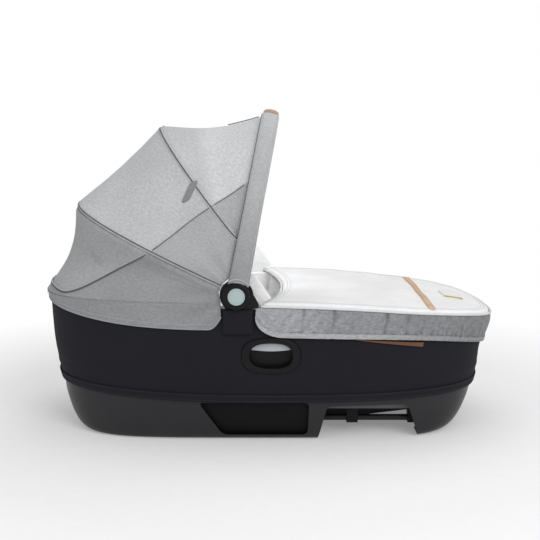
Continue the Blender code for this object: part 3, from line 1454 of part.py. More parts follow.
def make_canopy(handle_axis):
    """The middle panel between rear bow and batten, and the front panel from there to the handle."""
    seam, bow_edge, batten_edge = FIT, REAR_BAR_WIDTH / 2 + FIT, BATTEN_WIDTH / 2 + FIT
    make_rear_fabric(seam, bow_edge)
    leg_start = arch_angle_at(HANDLE_ARCH, CANOPY_START)
    leg_angles = np.linspace(leg_start, batten_foot_angle(), CANOPY_LEG_COLUMNS)
    joined = []
    for edge in (batten_edge, seam):
        leg = handle_rail(leg_angles, edge - seam)
        joined.append(np.concatenate([leg, batten_rail(-edge), mirrored(leg)]))
    mid = fabric("canopy_mid_panel", [rear_rail(seam), rear_rail(bow_edge)], joined, CANOPY_MID_SAG)
    over_angles = arch_angles(HANDLE_ARCH, batten_foot_angle(), BATTEN_POINTS)
    rails = [batten_rail(seam), batten_rail(batten_edge)]
    front = fabric("canopy_front_panel", rails, [handle_rail(over_angles)], CANOPY_SAG)
    hang(handle_axis, mid, front)


def make_rear_fabric(seam, bow_edge):
    """The skirt round the head end, and the rear panel from the rear bow down to it."""
    rows = skirt_rows()
    sheet = loft([[tuple(point) for point in row] for row in rows], closed=False)
    solidify(keep("canopy_skirt", sheet, "grey_melange"), CANOPY_WALL, outward=True)
    rim = rows[-1] + np.array([0, 0, GAP + FIT])
    fabric("canopy_rear_panel", [rear_rail(-seam), rear_rail(-bow_edge)], [rim], CANOPY_REAR_SAG)


# Apron

def apron_outline():
    """The apron's edge as a closed loop: round the foot end, and back along its bowed rear edge."""
    end = side_angle(APRON_FROM)
    fine = np.linspace(-end, end, FINE_POINTS)
    x, y = outline((RIM_HEAD, RIM_FOOT, RIM_HALF_WIDTH), fine, -APRON_PROUD)
    front = np.stack([x, y, np.zeros_like(x)], axis=1)
    back_y = np.linspace(y[-1], y[0], FINE_POINTS)[1:-1]
    back_x = APRON_FROM + APRON_BOW * (1 - (np.abs(back_y) / y[-1]) ** APRON_BOW_POWER)
    back = np.stack([back_x, back_y, np.zeros_like(back_x)], axis=1)
    loop = np.concatenate([front, back, front[:1]])
    return resample(loop, APRON_COLUMNS + 1)[:-1]


def apron_height(x, share):
    """Height of the apron's underside: it follows the rim and is crowned towards its middle."""
    return rim_height(x) + APRON_SEAT + APRON_CROWN * (1 - share**APRON_CROWN_POWER)


def make_apron(apron_axis):
    """The padded apron as a closed form: its underside out to the edge, then its top face back."""
    edge = apron_outline()
    centre = np.array([APRON_CENTRE_X, 0, 0])
    under = [(share, 0) for share in APRON_RING_SHARES]
    over = [(share, APRON_THICKNESS) for share in APRON_RING_SHARES[::-1]]
    rings = []
    for share, rise in under + [(1, APRON_EDGE_RISE)] + over:
        ring = centre + share * (edge - centre)
        ring[:, 2] = apron_height(ring[:, 0], share) + rise
        rings.append([tuple(point) for point in ring])
    top = keep("apron_top", loft(rings, cap_first=True, cap_last=True), "apron_fabric")
    pieces = [top, make_band(), make_piping(edge)]
    pieces += make_trims(top)
    hang(apron_axis, *pieces)


def make_piping(edge):
    """The cord sewn along the apron's edge."""
    line = edge.copy()
    line[:, 2] = apron_height(line[:, 0], 1) + APRON_EDGE_RISE
    ahead, behind = np.roll(line, -1, axis=0), np.roll(line, 1, axis=0)
    sections = []
    turns = np.linspace(0, 2 * math.pi, PIPING_SIDES + 1)[:-1]
    for place, heading in zip(line, ahead - behind):
        heading = Vector(heading).normalized()
        away = heading.cross(Vector((0, 0, 1))).normalized()
        middle = Vector(place) + away * (PIPING_RADIUS + GAP + FIT)
        over = away.cross(heading)
        sections.append([middle + PIPING_RADIUS * (math.cos(a) * away + math.sin(a) * over) for a in turns])
    return keep("apron_piping", tube_of_sections(sections), "apron_fabric")


def make_band():
    """The gathered band that hangs from the apron's edge down over the cover."""
    end = side_angle(BAND_FROM)
    fine = np.linspace(-end, end, FINE_POINTS)
    x, y = outline(cover_section(1), fine)
    even = resample(np.stack([x, y, fine], axis=1), 2 * BAND_GATHERS + 1)
    angles = even[:, 2]
    wave = BAND_GATHER * (np.arange(len(angles)) % 2)
    rim_x, _ = outline(cover_section(1), angles)
    foot = np.clip(rim_x / RIM_FOOT, 0, 1)
    corner = BAND_CORNER * np.clip(1 - (rim_x - BAND_FROM) / BAND_CORNER, 0, 1) ** 2
    low = BAND_HEM + corner - BAND_HEM_SIDE_DROP * foot - BAND_HEM_FOOT_DROP * foot**BAND_DROP_POWER
    high = rim_height(rim_x) - GAP
    rows = []
    for share, slack in zip(BAND_ROW_SHARES, BAND_SLACK_SHARES):
        z = low + share * (high - low)
        x, y = outline(cover_section(cover_level(rim_x, z)), angles)
        away = np.stack([x / RIM_FOOT, y / RIM_HALF_WIDTH], axis=1)
        away /= np.linalg.norm(away, axis=1)[:, None]
        spread = (BAND_SPREAD + GAP + wave * slack)[:, None] * away
        rows.append([tuple(point) for point in np.stack([x + spread[:, 0], y + spread[:, 1], z], axis=1)])
    band = keep("apron_band", loft(rows, closed=False), "band_fabric")
    return solidify(band, BAND_THICKNESS, outward=True)


def draped(tree, x, y):
    return tree.ray_cast(Vector((x, y, 1)), Vector((0, 0, -1)))[0] + Vector((0, 0, DRAPE_LIFT))


def make_trims(top):
    """The leather strip across the apron and the bare patch near its foot."""
    tree = surface_of(top)
    angle = side_angle(STRIP_X)
    reach = STRIP_HALF_LENGTH_SHARE * float(outline((RIM_HEAD, RIM_FOOT, RIM_HALF_WIDTH), angle)[1])
    trims = []
    for name, finish_name, thickness, xs, ys in (
        (
            "apron_strip", "leather", STRIP_THICKNESS,
            STRIP_X + np.linspace(-STRIP_WIDTH / 2, STRIP_WIDTH / 2, 3),
            np.linspace(-reach, reach, STRIP_POINTS),
        ),
        (
            "apron_patch", "apron_fabric", PATCH_THICKNESS,
            PATCH_X + np.linspace(-PATCH_LENGTH / 2, PATCH_LENGTH / 2, PATCH_STEPS),
            PATCH_Y + np.linspace(-PATCH_WIDTH / 2, PATCH_WIDTH / 2, PATCH_STEPS),
        ),
    ):
        rows = [[draped(tree, x, y) for x in xs] for y in ys]
        trim = keep(name, loft(rows, closed=False), finish_name)
        trims.append(solidify(trim, thickness, outward=True))
    return trims


# Assembly

def build():
    grip_holes = [grip_hole(name, side) for name, side in SIDES]
    make_base()
    make_deck()
    make_tub(grip_holes)
    make_liner(grip_holes)
    make_bed()
    handle_axis = axis_empty("handle_axis", (HUB_X, 0, HUB_Z))
    for name, side in SIDES:
        make_grip(name, side)
        make_bracket(name, side)
        make_hub(name, side, handle_axis)
    make_screws()
    make_rear_bow()
    make_handle(handle_axis)
    make_batten(handle_axis)
    make_canopy(handle_axis)
    make_apron(axis_empty("apron_axis", (APRON_CENTRE_X, 0, RIM_HEIGHT)))


clear_scene()
PARTS = make_collection("Carrycot")
CUTTERS = make_collection("Cutters")
build()
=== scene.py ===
"""The looks of a carrycot with a folding canopy, a carry handle and a foot apron.

Metres, +Z up, +X towards the foot end. The right side is -Y and faces the camera.
"""

import logging
import math
from dataclasses import dataclass, field
from enum import Enum
from functools import cached_property

import bmesh
import bpy
import numpy as np
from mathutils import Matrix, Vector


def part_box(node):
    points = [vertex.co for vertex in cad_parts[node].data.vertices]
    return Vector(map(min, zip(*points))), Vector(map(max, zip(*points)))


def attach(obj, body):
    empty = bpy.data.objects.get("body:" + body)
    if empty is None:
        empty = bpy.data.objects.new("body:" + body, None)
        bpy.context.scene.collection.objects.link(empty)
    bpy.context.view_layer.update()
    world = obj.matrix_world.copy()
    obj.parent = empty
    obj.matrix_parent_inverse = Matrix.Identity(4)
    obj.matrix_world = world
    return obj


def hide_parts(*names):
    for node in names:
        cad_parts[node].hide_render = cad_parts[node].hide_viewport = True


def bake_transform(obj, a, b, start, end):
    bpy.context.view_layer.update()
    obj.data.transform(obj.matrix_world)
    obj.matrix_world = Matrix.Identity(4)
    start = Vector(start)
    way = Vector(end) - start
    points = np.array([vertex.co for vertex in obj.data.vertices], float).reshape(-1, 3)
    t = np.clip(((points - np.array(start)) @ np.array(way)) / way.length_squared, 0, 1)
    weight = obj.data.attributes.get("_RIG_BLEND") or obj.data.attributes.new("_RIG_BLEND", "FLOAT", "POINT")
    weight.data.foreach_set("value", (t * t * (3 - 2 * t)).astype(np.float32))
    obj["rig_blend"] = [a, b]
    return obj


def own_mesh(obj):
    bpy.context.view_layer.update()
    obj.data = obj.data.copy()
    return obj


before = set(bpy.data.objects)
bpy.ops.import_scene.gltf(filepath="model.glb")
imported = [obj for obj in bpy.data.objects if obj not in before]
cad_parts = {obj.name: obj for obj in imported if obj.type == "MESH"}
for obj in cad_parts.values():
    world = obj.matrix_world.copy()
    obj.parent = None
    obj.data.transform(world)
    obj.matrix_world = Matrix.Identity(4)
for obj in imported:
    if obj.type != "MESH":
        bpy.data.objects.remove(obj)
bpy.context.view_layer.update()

LOG = logging.getLogger("carrycot")
Array = np.ndarray
Piece = bpy.types.Object
Point = tuple[float, float, float]
Pair = tuple[float, float]
Colour = tuple[float, float, float]

FULL_TURN = 2 * math.pi
WELD = 1e-6
GAP = 0.0003
FIT = 0.0006
SIDEWAYS = np.array([0.0, 1.0, 0.0])
# Upright but for a hair, so that no line runs along it
STEEP = np.array([1e-4, 3e-5, 1.0])


class Side(Enum):
    """The two long sides of the carrycot; the value is the sign of Y."""

    LEFT = 1
    RIGHT = -1

    @property
    def word(self) -> str:
        """The side's name as the frame's nodes end with it."""
        return self.name.lower()


class Lie(Enum):
    """Which coordinates a finish is laid out in."""

    CLOTH = "UV"
    SOLID = "Object"


# Curves and surfaces


def signed_power(value: Array, power: float) -> Array:
    """The power of a value's size, with the value's own sign."""
    return np.sign(value) * np.abs(value) ** power


def superellipse(angles: Array, power: float) -> tuple[Array, Array]:
    """Cosine and sine drawn out to a rounded box: each is raised to 2 / power, sign kept."""
    return signed_power(np.cos(angles), 2 / power), signed_power(np.sin(angles), 2 / power)


def ease(value: Array, low: float, high: float) -> Array:
    """0 below low and 1 above high, with 3t^2 - 2t^3 between them."""
    share = np.clip((np.asarray(value, float) - low) / (high - low), 0, 1)
    return share * share * (3 - 2 * share)


def bump(value: Array, middle: float, spread: float) -> Array:
    """A bell of height 1: e to minus the square of the distance over the spread."""
    return np.exp(-(((np.asarray(value, float) - middle) / spread) ** 2))


def smooth_curve(value: Array, knots: Array, heights: Array) -> Array:
    """A curve through points without overshoot.

    Between two knots it is the cubic with the points' heights and slopes; a knot's slope is
    the harmonic mean of the slopes beside it, or 0 where these differ in sign.

    Args:
        value: where the curve is wanted.
        knots: rising places of the points.
        heights: the points' heights.

    Returns:
        The curve's heights, in the shape of value.
    """
    knots, heights = np.asarray(knots, float), np.asarray(heights, float)
    step = np.diff(knots)
    slope = np.diff(heights) / step
    product = slope[:-1] * slope[1:]
    total = np.where(product > 0, slope[:-1] + slope[1:], 1)
    inner = np.where(product > 0, 2 * product / total, 0)
    slopes = np.concatenate([[slope[0]], inner, [slope[-1]]])
    value = np.clip(np.asarray(value, float), knots[0], knots[-1])
    cell = np.clip(np.searchsorted(knots, value, side="right") - 1, 0, len(step) - 1)
    share = (value - knots[cell]) / step[cell]
    rest = 1 - share
    ends = heights[cell] * (1 + 2 * share) * rest**2 + heights[cell + 1] * (3 - 2 * share) * share**2
    turns = slopes[cell] * share * rest**2 - slopes[cell + 1] * rest * share**2
    return ends + turns * step[cell]


def length_along(points: Array, axis: int) -> Array:
    """Distance walked along an axis of a grid of points, from 0."""
    step = np.linalg.norm(np.diff(points, axis=axis), axis=-1)
    start = np.zeros_like(np.take(step, [0], axis=axis))
    return np.concatenate([start, np.cumsum(step, axis=axis)], axis=axis)


def metre_map(points: Array) -> Array:
    """A UV map in metres: distance along the columns, and distance along the rows."""
    across = length_along(points, 1)
    middle = across[:, [across.shape[1] // 2]]
    return np.stack([across - middle, length_along(points, 0)], axis=-1)


def resample(line: Array, count: int) -> Array:
    """Points at equal distances along a polyline."""
    walked = length_along(line, 0)
    wanted = np.linspace(0, walked[-1], count)
    return np.stack([np.interp(wanted, walked, line[:, axis]) for axis in range(line.shape[1])], axis=1)


def surface_normals(points: Array) -> Array:
    """Unit normals of a grid: the cross product of its two directions."""
    return unit(np.cross(np.gradient(points, axis=1), np.gradient(points, axis=0)))


def folds(along: Array, over: Array, seed: int, count: int = 6, long: float = 0.12, wide: float = 0.03) -> Array:
    """Soft uneven folds between -1 and 1.

    A sum of sines whose directions, lengths and phases come from a seeded list, the longer
    ones running along the first direction.

    Args:
        along: distance along the folds, in metres.
        over: distance across the folds, in metres.
        seed: picks the list.
        count: how many sines.
        long: usual length of a wave along the folds.
        wide: usual length of a wave across them.

    Returns:
        The height of the folds at each place.
    """
    draw = np.random.default_rng(seed)
    total = np.zeros(np.broadcast(along, over).shape)
    for _ in range(count):
        a, b, phase = draw.uniform(0.5, 1.6), draw.uniform(0.6, 1.8), draw.uniform(0, FULL_TURN)
        tilt = draw.choice([-1, 1])
        total = total + np.sin(FULL_TURN * (tilt * a * along / long + b * over / wide) + phase)
    return total / count


def xyz(x: Array | float, y: Array | float, z: Array | float) -> Array:
    """Points of three coordinates, each spread to the shape that they share."""
    return np.stack(np.broadcast_arrays(x, y, z), axis=-1)


def column(value: Array | float, shape: tuple[int, ...]) -> Array:
    """A value spread to a shape, with one more axis so that it scales points."""
    return np.broadcast_to(np.asarray(value, float), shape)[..., None]


def unit(vectors: Array) -> Array:
    """Vectors brought to length 1."""
    return vectors / np.maximum(np.linalg.norm(vectors, axis=-1, keepdims=True), 1e-12)


def outline(count: int, power: float) -> tuple[Array, Array]:
    """A superellipse once round, at equal steps of the turn."""
    return superellipse(np.linspace(0, FULL_TURN, count), power)


def rounded(corners: tuple[Pair, ...], radius: float, steps: int = 7) -> Array:
    """A closed outline whose corners are arcs: each is a quadratic curve between points a radius away."""
    points = np.array(corners)
    share = np.linspace(0, 1, steps)[:, None]
    arcs = []
    for before, here, after in zip(np.roll(points, 1, axis=0), points, np.roll(points, -1, axis=0)):
        first = here + (before - here) * min(0.5, radius / np.linalg.norm(before - here))
        last = here + (after - here) * min(0.5, radius / np.linalg.norm(after - here))
        arcs.append((1 - share) ** 2 * first + 2 * share * (1 - share) * here + share**2 * last)
    return np.concatenate(arcs)


@dataclass
class Grid:
    """A surface as rows and columns of points, with what its finish reads."""

    points: Array
    uv: Array | None = None
    marks: dict[str, Array | float] = field(default_factory=dict)


def make_piece(name: str, *shapes: Grid | Array, away_from: Point | None = None, crease: float = 50) -> Piece:
    """Makes an object of one or more grids, joined where their edges meet.

    Args:
        name: the piece's name.
        shapes: the surfaces; a closed one repeats its first column or row at the end.
        away_from: for an open sheet, a point on the side that its front faces away from;
            without it the grids enclose a body, and their front is found.
        crease: angle in degrees above which an edge stays sharp.

    Returns:
        The object, welded and smooth, with its UV map and marks.
    """
    grids = [shape if isinstance(shape, Grid) else Grid(shape) for shape in shapes]
    points, corners, uvs, offset = [], [], [], 0
    marks: dict[str, list[Array]] = {key: [] for grid in grids for key in grid.marks}
    for grid in grids:
        rows, columns = grid.points.shape[:2]
        index = offset + np.arange(rows * columns).reshape(rows, columns)
        quads = np.stack([index[:-1, :-1], index[:-1, 1:], index[1:, 1:], index[1:, :-1]], axis=-1)
        corners.append(quads.reshape(-1, 4))
        points.append(grid.points.reshape(-1, 3))
        uv = metre_map(grid.points) if grid.uv is None else grid.uv
        uvs.append(np.broadcast_to(uv, (rows, columns, 2)).reshape(-1, 2))
        for key, found in marks.items():
            found.append(np.broadcast_to(grid.marks.get(key, 0.0), (rows, columns)).reshape(-1))
        offset += rows * columns
    place, quads = np.concatenate(points), np.concatenate(corners)
    if away_from is not None:
        first, second = place[quads[:, 2]] - place[quads[:, 0]], place[quads[:, 3]] - place[quads[:, 1]]
        outward = place[quads].mean(axis=1) - np.array(away_from)
        if np.einsum("ij,ij->", np.cross(first, second), outward) < 0:
            quads = quads[:, ::-1]
    mesh = bpy.data.meshes.new(name)
    mesh.from_pydata(place.tolist(), [], quads.tolist())
    layer = mesh.uv_layers.new(name="UVMap")
    layer.data.foreach_set("uv", np.concatenate(uvs)[quads.ravel()].astype(np.float32).ravel())
    for key, found in marks.items():
        mark = mesh.attributes.new(key, "FLOAT", "POINT")
        mark.data.foreach_set("value", np.concatenate(found).astype(np.float32))
    build = bmesh.new()
    build.from_mesh(mesh)
    bmesh.ops.remove_doubles(build, verts=build.verts, dist=WELD)
    bmesh.ops.dissolve_degenerate(build, edges=build.edges, dist=WELD)
    if away_from is None:
        bmesh.ops.recalc_face_normals(build, faces=build.faces)
    build.to_mesh(mesh)
    build.free()
    mesh.shade_smooth()
    mesh.set_sharp_from_angle(angle=math.radians(crease))
    piece = bpy.data.objects.new(name, mesh)
    bpy.context.scene.collection.objects.link(piece)
    return piece


def thicken(piece: Piece, thickness: float, inward: bool = False) -> None:
    """Gives a sheet its thickness, on its front or behind it."""
    wall = piece.modifiers.new("wall", "SOLIDIFY")
    wall.thickness = thickness
    wall.offset = -1 if inward else 1
    wall.use_even_offset = inward


def declare_sheet(grids: list[Array]) -> None:
    """Works out the area of a sheet's faces; the area is not kept or used.

    Args:
        grids: its face, in one or more grids that follow each other.
    """
    area = 0.0
    for grid in grids:
        rising, falling = grid[1:, 1:] - grid[:-1, :-1], grid[1:, :-1] - grid[:-1, 1:]
        area += float(np.linalg.norm(np.cross(rising, falling), axis=-1).sum()) / 2


def settle(piece: Piece) -> None:
    """Puts the result of a piece's modifiers into its mesh."""
    bpy.context.view_layer.update()
    view = bpy.context.evaluated_depsgraph_get()
    made = bpy.data.meshes.new_from_object(piece.evaluated_get(view), depsgraph=view)
    piece.modifiers.clear()
    piece.data = made


def capped(rows: Array, line: Array) -> Array:
    """A tube's rows, closed at the first and the last point of its line."""
    ends = np.repeat(line[[0, -1], None], rows.shape[1], axis=1)
    return np.concatenate([ends[:1], rows, ends[1:]])


def tube(line: Array, radius: float | Array, sides: int = 10, loop: bool = False, flat: float = 1.0) -> Array:
    """A round cord along a polyline, with closed ends.

    At each point of the line a circle stands square to it: radius times cosine along the
    side direction and sine times flat along the upward one.

    Args:
        line: the points of its middle.
        radius: the cord's radius, or one for each point.
        sides: how many points a circle has.
        loop: whether the line ends where it starts.
        flat: height of the section for its width.

    Returns:
        The grid of its points.
    """
    heading = unit(np.roll(line, -1, axis=0) - np.roll(line, 1, axis=0) if loop else np.gradient(line, axis=0))
    side = unit(np.cross(heading, STEEP))
    lift = np.cross(side, heading)
    turn = np.linspace(0, FULL_TURN, sides + 1)[:, None]
    ring = np.cos(turn) * side[:, None] + flat * np.sin(turn) * lift[:, None]
    rows = line[:, None] + column(radius, line.shape[:1])[..., None] * ring
    return np.concatenate([rows, rows[:1]]) if loop else capped(rows, line)


def stitches(line: Array, pitch: float = 0.0042, share: float = 0.62, radius: float = 0.00045) -> list[Array]:
    """A row of sewn stitches along a polyline.

    Each stitch is a spindle of six sides: its radius follows the square root of a sine
    along its length, and its middle is half sunk in the line.

    Args:
        line: the seam's points, on the face of the fabric.
        pitch: distance from one stitch to the next.
        share: share of the pitch that the thread shows.
        radius: the thread's radius.

    Returns:
        A grid for each stitch.
    """
    walked = length_along(line, 0)
    count = max(2, int(walked[-1] / pitch))
    steps = np.linspace(0, 1, 5)
    places = (np.arange(count)[:, None] + steps * share) * walked[-1] / count
    middle = np.stack([np.interp(places, walked, line[:, axis]) for axis in range(3)], axis=-1)
    heading = unit(middle[:, -1] - middle[:, 0])
    side = unit(np.cross(heading, np.array([0.1, 0.05, 1.0])))
    lift = np.cross(side, heading)
    turn = np.linspace(0, FULL_TURN, 7)[:, None]
    swell = radius * np.sqrt(np.sin(math.pi * steps))[None, :, None, None]
    ring = np.cos(turn) * side[:, None] + np.sin(turn) * lift[:, None]
    return list(middle[:, :, None] + swell * ring[:, None])


# Finishes


class Tree:
    """A material's nodes, added one after another."""

    def __init__(self, name: str) -> None:
        """Starts a material with a bare shader."""
        self.material = bpy.data.materials.new(name)
        self.material.use_nodes = True
        self.shader = self.material.node_tree.nodes["Principled BSDF"]

    def add(self, kind: str, values: dict[str, object] | None = None, **settings: object) -> bpy.types.Node:
        """Adds a node.

        Args:
            kind: the node's type without its ShaderNode prefix.
            values: socket names and the value or the output that each takes.
            settings: properties of the node.

        Returns:
            The node.
        """
        node = self.material.node_tree.nodes.new("ShaderNode" + kind)
        for key, value in settings.items():
            setattr(node, key, value)
        for key, value in (values or {}).items():
            self.join(value, node.inputs[key])
        return node

    def join(self, value: object, socket: bpy.types.NodeSocket) -> None:
        """Links an output to a socket, or sets the socket to a value."""
        if isinstance(value, bpy.types.NodeSocket):
            self.material.node_tree.links.new(value, socket)
        else:
            socket.default_value = value

    def blend(self, share: object, first: object, second: object, kind: str = "MIX") -> bpy.types.NodeSocket:
        """Mixes two colours by a share and returns the mixed colour."""
        node = self.add("Mix", data_type="RGBA", blend_type=kind)
        self.join(share, node.inputs[0])
        self.join(first, node.inputs[6])
        self.join(second, node.inputs[7])
        return node.outputs[2]

    def sum(self, kind: str, first: object, second: object = 0.0) -> bpy.types.NodeSocket:
        """A Math node of two values."""
        node = self.add("Math", operation=kind)
        self.join(first, node.inputs[0])
        self.join(second, node.inputs[1])
        return node.outputs[0]

    def between(self, value: object, low: float, high: float, start: float = 0, end: float = 1) -> bpy.types.NodeSocket:
        """Brings a value from one range to another, without going past its ends."""
        node = self.add("MapRange", {"Value": value, "From Min": low, "From Max": high, "To Min": start, "To Max": end})
        return node.outputs[0]

    def noise(self, place: object, scale: float, detail: float = 2, roughness: float = 0.5) -> bpy.types.NodeSocket:
        """Noise from 0 to 1 at a place."""
        values = {"Vector": place, "Scale": scale, "Detail": detail, "Roughness": roughness}
        return self.add("TexNoise", values).outputs[0]

    def mark(self, name: str) -> bpy.types.NodeSocket:
        """A value that the mesh carries at its points."""
        return self.add("Attribute", attribute_name=name).outputs["Fac"]

    def place(self, lie: Lie, stretch: Point = (1, 1, 1)) -> bpy.types.NodeSocket:
        """Coordinates in metres, stretched along the axes."""
        source = self.add("TexCoord").outputs[lie.value]
        if stretch == (1, 1, 1):
            return source
        return self.add("Mapping", {"Vector": source, "Scale": stretch}).outputs[0]

    def toned(self, colour: object, tone: object) -> bpy.types.NodeSocket:
        """A colour made lighter or darker by a value."""
        grey = self.add("CombineColor", {"Red": tone, "Green": tone, "Blue": tone}).outputs[0]
        return self.blend(1.0, colour, grey, "MULTIPLY")

    def relief(self, height: object, depth: float, strength: float = 1.0, below: object = None) -> bpy.types.NodeSocket:
        """A bump of a depth in metres, over another one if it is given."""
        node = self.add("Bump", {"Height": height, "Distance": depth, "Strength": strength})
        if below is not None:
            self.join(below, node.inputs["Normal"])
        return node.outputs[0]

    def finish(self, colour: object, roughness: object, normal: object, **fixed: float) -> bpy.types.Material:
        """Joins colour, roughness and normal to the shader and sets its fixed values."""
        self.join(colour, self.shader.inputs["Base Color"])
        self.join(roughness, self.shader.inputs["Roughness"])
        self.join(normal, self.shader.inputs["Normal"])
        for key, value in fixed.items():
            self.shader.inputs[key.replace("_", " ").title().replace("Ior", "IOR")].default_value = value
        return self.material


def rgba(colour: Colour, gain: float = 1.0) -> tuple[float, float, float, float]:
    """A colour with its gain and a full alpha."""
    return (colour[0] * gain, colour[1] * gain, colour[2] * gain, 1.0)


class Finish:
    """A finish that is made once and given to many pieces."""

    made: dict["Finish", bpy.types.Material] = {}

    def build(self) -> bpy.types.Material:
        """Makes the material."""
        raise NotImplementedError

    def material(self) -> bpy.types.Material:
        """The finish's material, made on first use."""
        if self not in Finish.made:
            Finish.made[self] = self.build()
        return Finish.made[self]


@dataclass(frozen=True)
class Cloth(Finish):
    """Woven or knitted fabric: threads, flecks of another yarn, soft uneven dye, and painted light and shade where a
    piece carries a shade mark.
    """

    name: str
    colour: Colour
    fleck: Colour
    flecks: float = 0.5
    pitch: float = 0.0009
    relief: float = 0.00016
    sheen: float = 0.12
    roughness: float = 0.88
    # Painted light and shade: with shade_mark the colour is toned by the mesh's shade mark, and the next field darkens
    # it below the zip as painted shade.
    shade_mark: bool = False
    zone: float = 1.0
    mottle: float = 0.05

    def build(self) -> bpy.types.Material:
        """Threads cross as two sets of bands, flecks are long noise along the weft; shade marks paint light and shade
        into the colour.
        """
        tree = Tree(self.name)
        place = tree.place(Lie.CLOTH)
        bands = {"Vector": place, "Scale": FULL_TURN / (20 * self.pitch), "Distortion": 0.6, "Detail": 1.0}
        bands["Detail Scale"] = 0.4
        warp, weft = (tree.add("TexWave", bands, bands_direction=way).outputs["Fac"] for way in "XY")
        weave = tree.sum("MULTIPLY", warp, weft)
        long_fleck = tree.noise(tree.place(Lie.CLOTH, (1, 3.5, 1)), 520, 3, 0.65)
        cross_fleck = tree.noise(tree.place(Lie.CLOTH, (4, 1, 1)), 420, 3, 0.65)
        flecks = tree.sum("MULTIPLY", tree.between(long_fleck, 0.42, 0.62), self.flecks)
        colour = tree.blend(flecks, rgba(self.colour), rgba(self.fleck))
        more = tree.sum("MULTIPLY", tree.between(cross_fleck, 0.52, 0.68), self.flecks * 0.7)
        colour = tree.blend(more, colour, rgba(self.colour, 1.16))
        dye = tree.between(tree.noise(place, 11, 3), 0.3, 0.7, 0.94, 1.05)
        slub = tree.noise(tree.place(Lie.CLOTH, (0.6, 1, 1)), 240, 2, 0.6)
        dye = tree.sum("MULTIPLY", dye, tree.between(slub, 0.32, 0.68, 1 - self.mottle, 1 + self.mottle))
        colour = tree.toned(colour, dye)
        # Painted light and shade: the shade mark lightens or darkens the colour, and below the zip's line the colour is
        # darkened further as painted shade.
        if self.shade_mark:
            shade = tree.mark("shade")
            if self.zone < 1:
                shade = tree.sum("MULTIPLY", shade, tree.between(tree.mark("line"), -0.0008, 0.0008, self.zone, 1.0))
            colour = tree.toned(colour, shade)
        nap = tree.relief(tree.noise(place, 900, 4), self.relief * 0.7, 0.5)
        normal = tree.relief(weave, self.relief, 0.7, nap)
        rough = tree.between(weave, 0, 1, self.roughness + 0.06, self.roughness - 0.06)
        return tree.finish(
            colour, rough, normal, sheen_weight=self.sheen, sheen_roughness=0.5, specular_ior_level=0.25
        )


@dataclass(frozen=True)
class Moulded(Finish):
    """Moulded plastic: a fine spark grain, faint flow marks and rubbed patches."""

    name: str
    colour: Colour
    roughness: float = 0.4
    grain: float = 0.00005
    grain_size: float = 1100
    coat: float = 0.0
    gloss: float = 0.4
    black_below: float = 0.0

    def build(self) -> bpy.types.Material:
        """Grain is noise in the bump; rubbing is wide noise in the roughness and colour."""
        tree = Tree(self.name)
        place = tree.place(Lie.SOLID)
        wide = tree.between(tree.noise(place, 14, 4), 0.35, 0.7)
        colour = tree.blend(wide, rgba(self.colour, 0.93), rgba(self.colour, 1.08))
        if self.black_below > 0:
            height = tree.add("SeparateXYZ", {"Vector": place}).outputs["Z"]
            above = tree.between(height, self.black_below - 0.0003, self.black_below + 0.0003)
            colour = tree.blend(above, rgba((0.004, 0.004, 0.004)), colour)
        rub = tree.between(tree.noise(place, 60, 5, 0.6), 0.3, 0.7, self.roughness - 0.05, self.roughness + 0.06)
        normal = tree.relief(tree.noise(place, self.grain_size, 3), self.grain, 0.5)
        fixed = {"coat_weight": self.coat, "coat_roughness": 0.3, "specular_ior_level": self.gloss}
        return tree.finish(colour, rub, normal, **fixed)


@dataclass(frozen=True)
class Hide(Finish):
    """Leather: cells of grain with darker valleys, and lighter rubbed tops."""

    name: str
    colour: Colour
    roughness: float = 0.5
    cells: float = 620

    def build(self) -> bpy.types.Material:
        """Grain is a cell pattern broken up by noise."""
        tree = Tree(self.name)
        place = tree.place(Lie.SOLID)
        bent = tree.add("TexNoise", {"Vector": place, "Scale": 180.0, "Detail": 2.0}).outputs["Color"]
        moved = tree.add("VectorMath", {0: bent, 1: (0.002, 0.002, 0.002), 2: place}, operation="MULTIPLY_ADD")
        cells = {"Vector": moved.outputs[0], "Scale": float(self.cells)}
        edge = tree.add("TexVoronoi", cells, feature="DISTANCE_TO_EDGE").outputs["Distance"]
        top = tree.between(edge, 0.0, 0.18)
        colour = tree.blend(top, rgba(self.colour, 0.72), rgba(self.colour, 1.05))
        colour = tree.toned(colour, tree.between(tree.noise(place, 22, 4), 0.3, 0.72, 0.86, 1.12))
        rough = tree.between(top, 0, 1, self.roughness + 0.14, self.roughness)
        normal = tree.relief(top, 0.00012, 0.5, tree.relief(tree.noise(place, 90, 3), 0.0004, 0.25))
        return tree.finish(colour, rough, normal)


@dataclass(frozen=True)
class Metal(Finish):
    """Bare or painted metal with fine drawn lines and dull spots."""

    name: str
    colour: Colour
    roughness: float = 0.32
    bare: float = 1.0

    def build(self) -> bpy.types.Material:
        """Drawn lines are noise stretched along X; spots are wide noise."""
        tree = Tree(self.name)
        lines = tree.noise(tree.place(Lie.SOLID, (0.05, 1, 1)), 1500, 2)
        spots = tree.noise(tree.place(Lie.SOLID), 45, 4)
        colour = tree.blend(tree.between(spots, 0.35, 0.7), rgba(self.colour, 0.88), rgba(self.colour))
        rough = tree.between(spots, 0.3, 0.7, self.roughness + 0.08, self.roughness - 0.04)
        return tree.finish(colour, rough, tree.relief(lines, 0.00003, 0.4), metallic=self.bare)


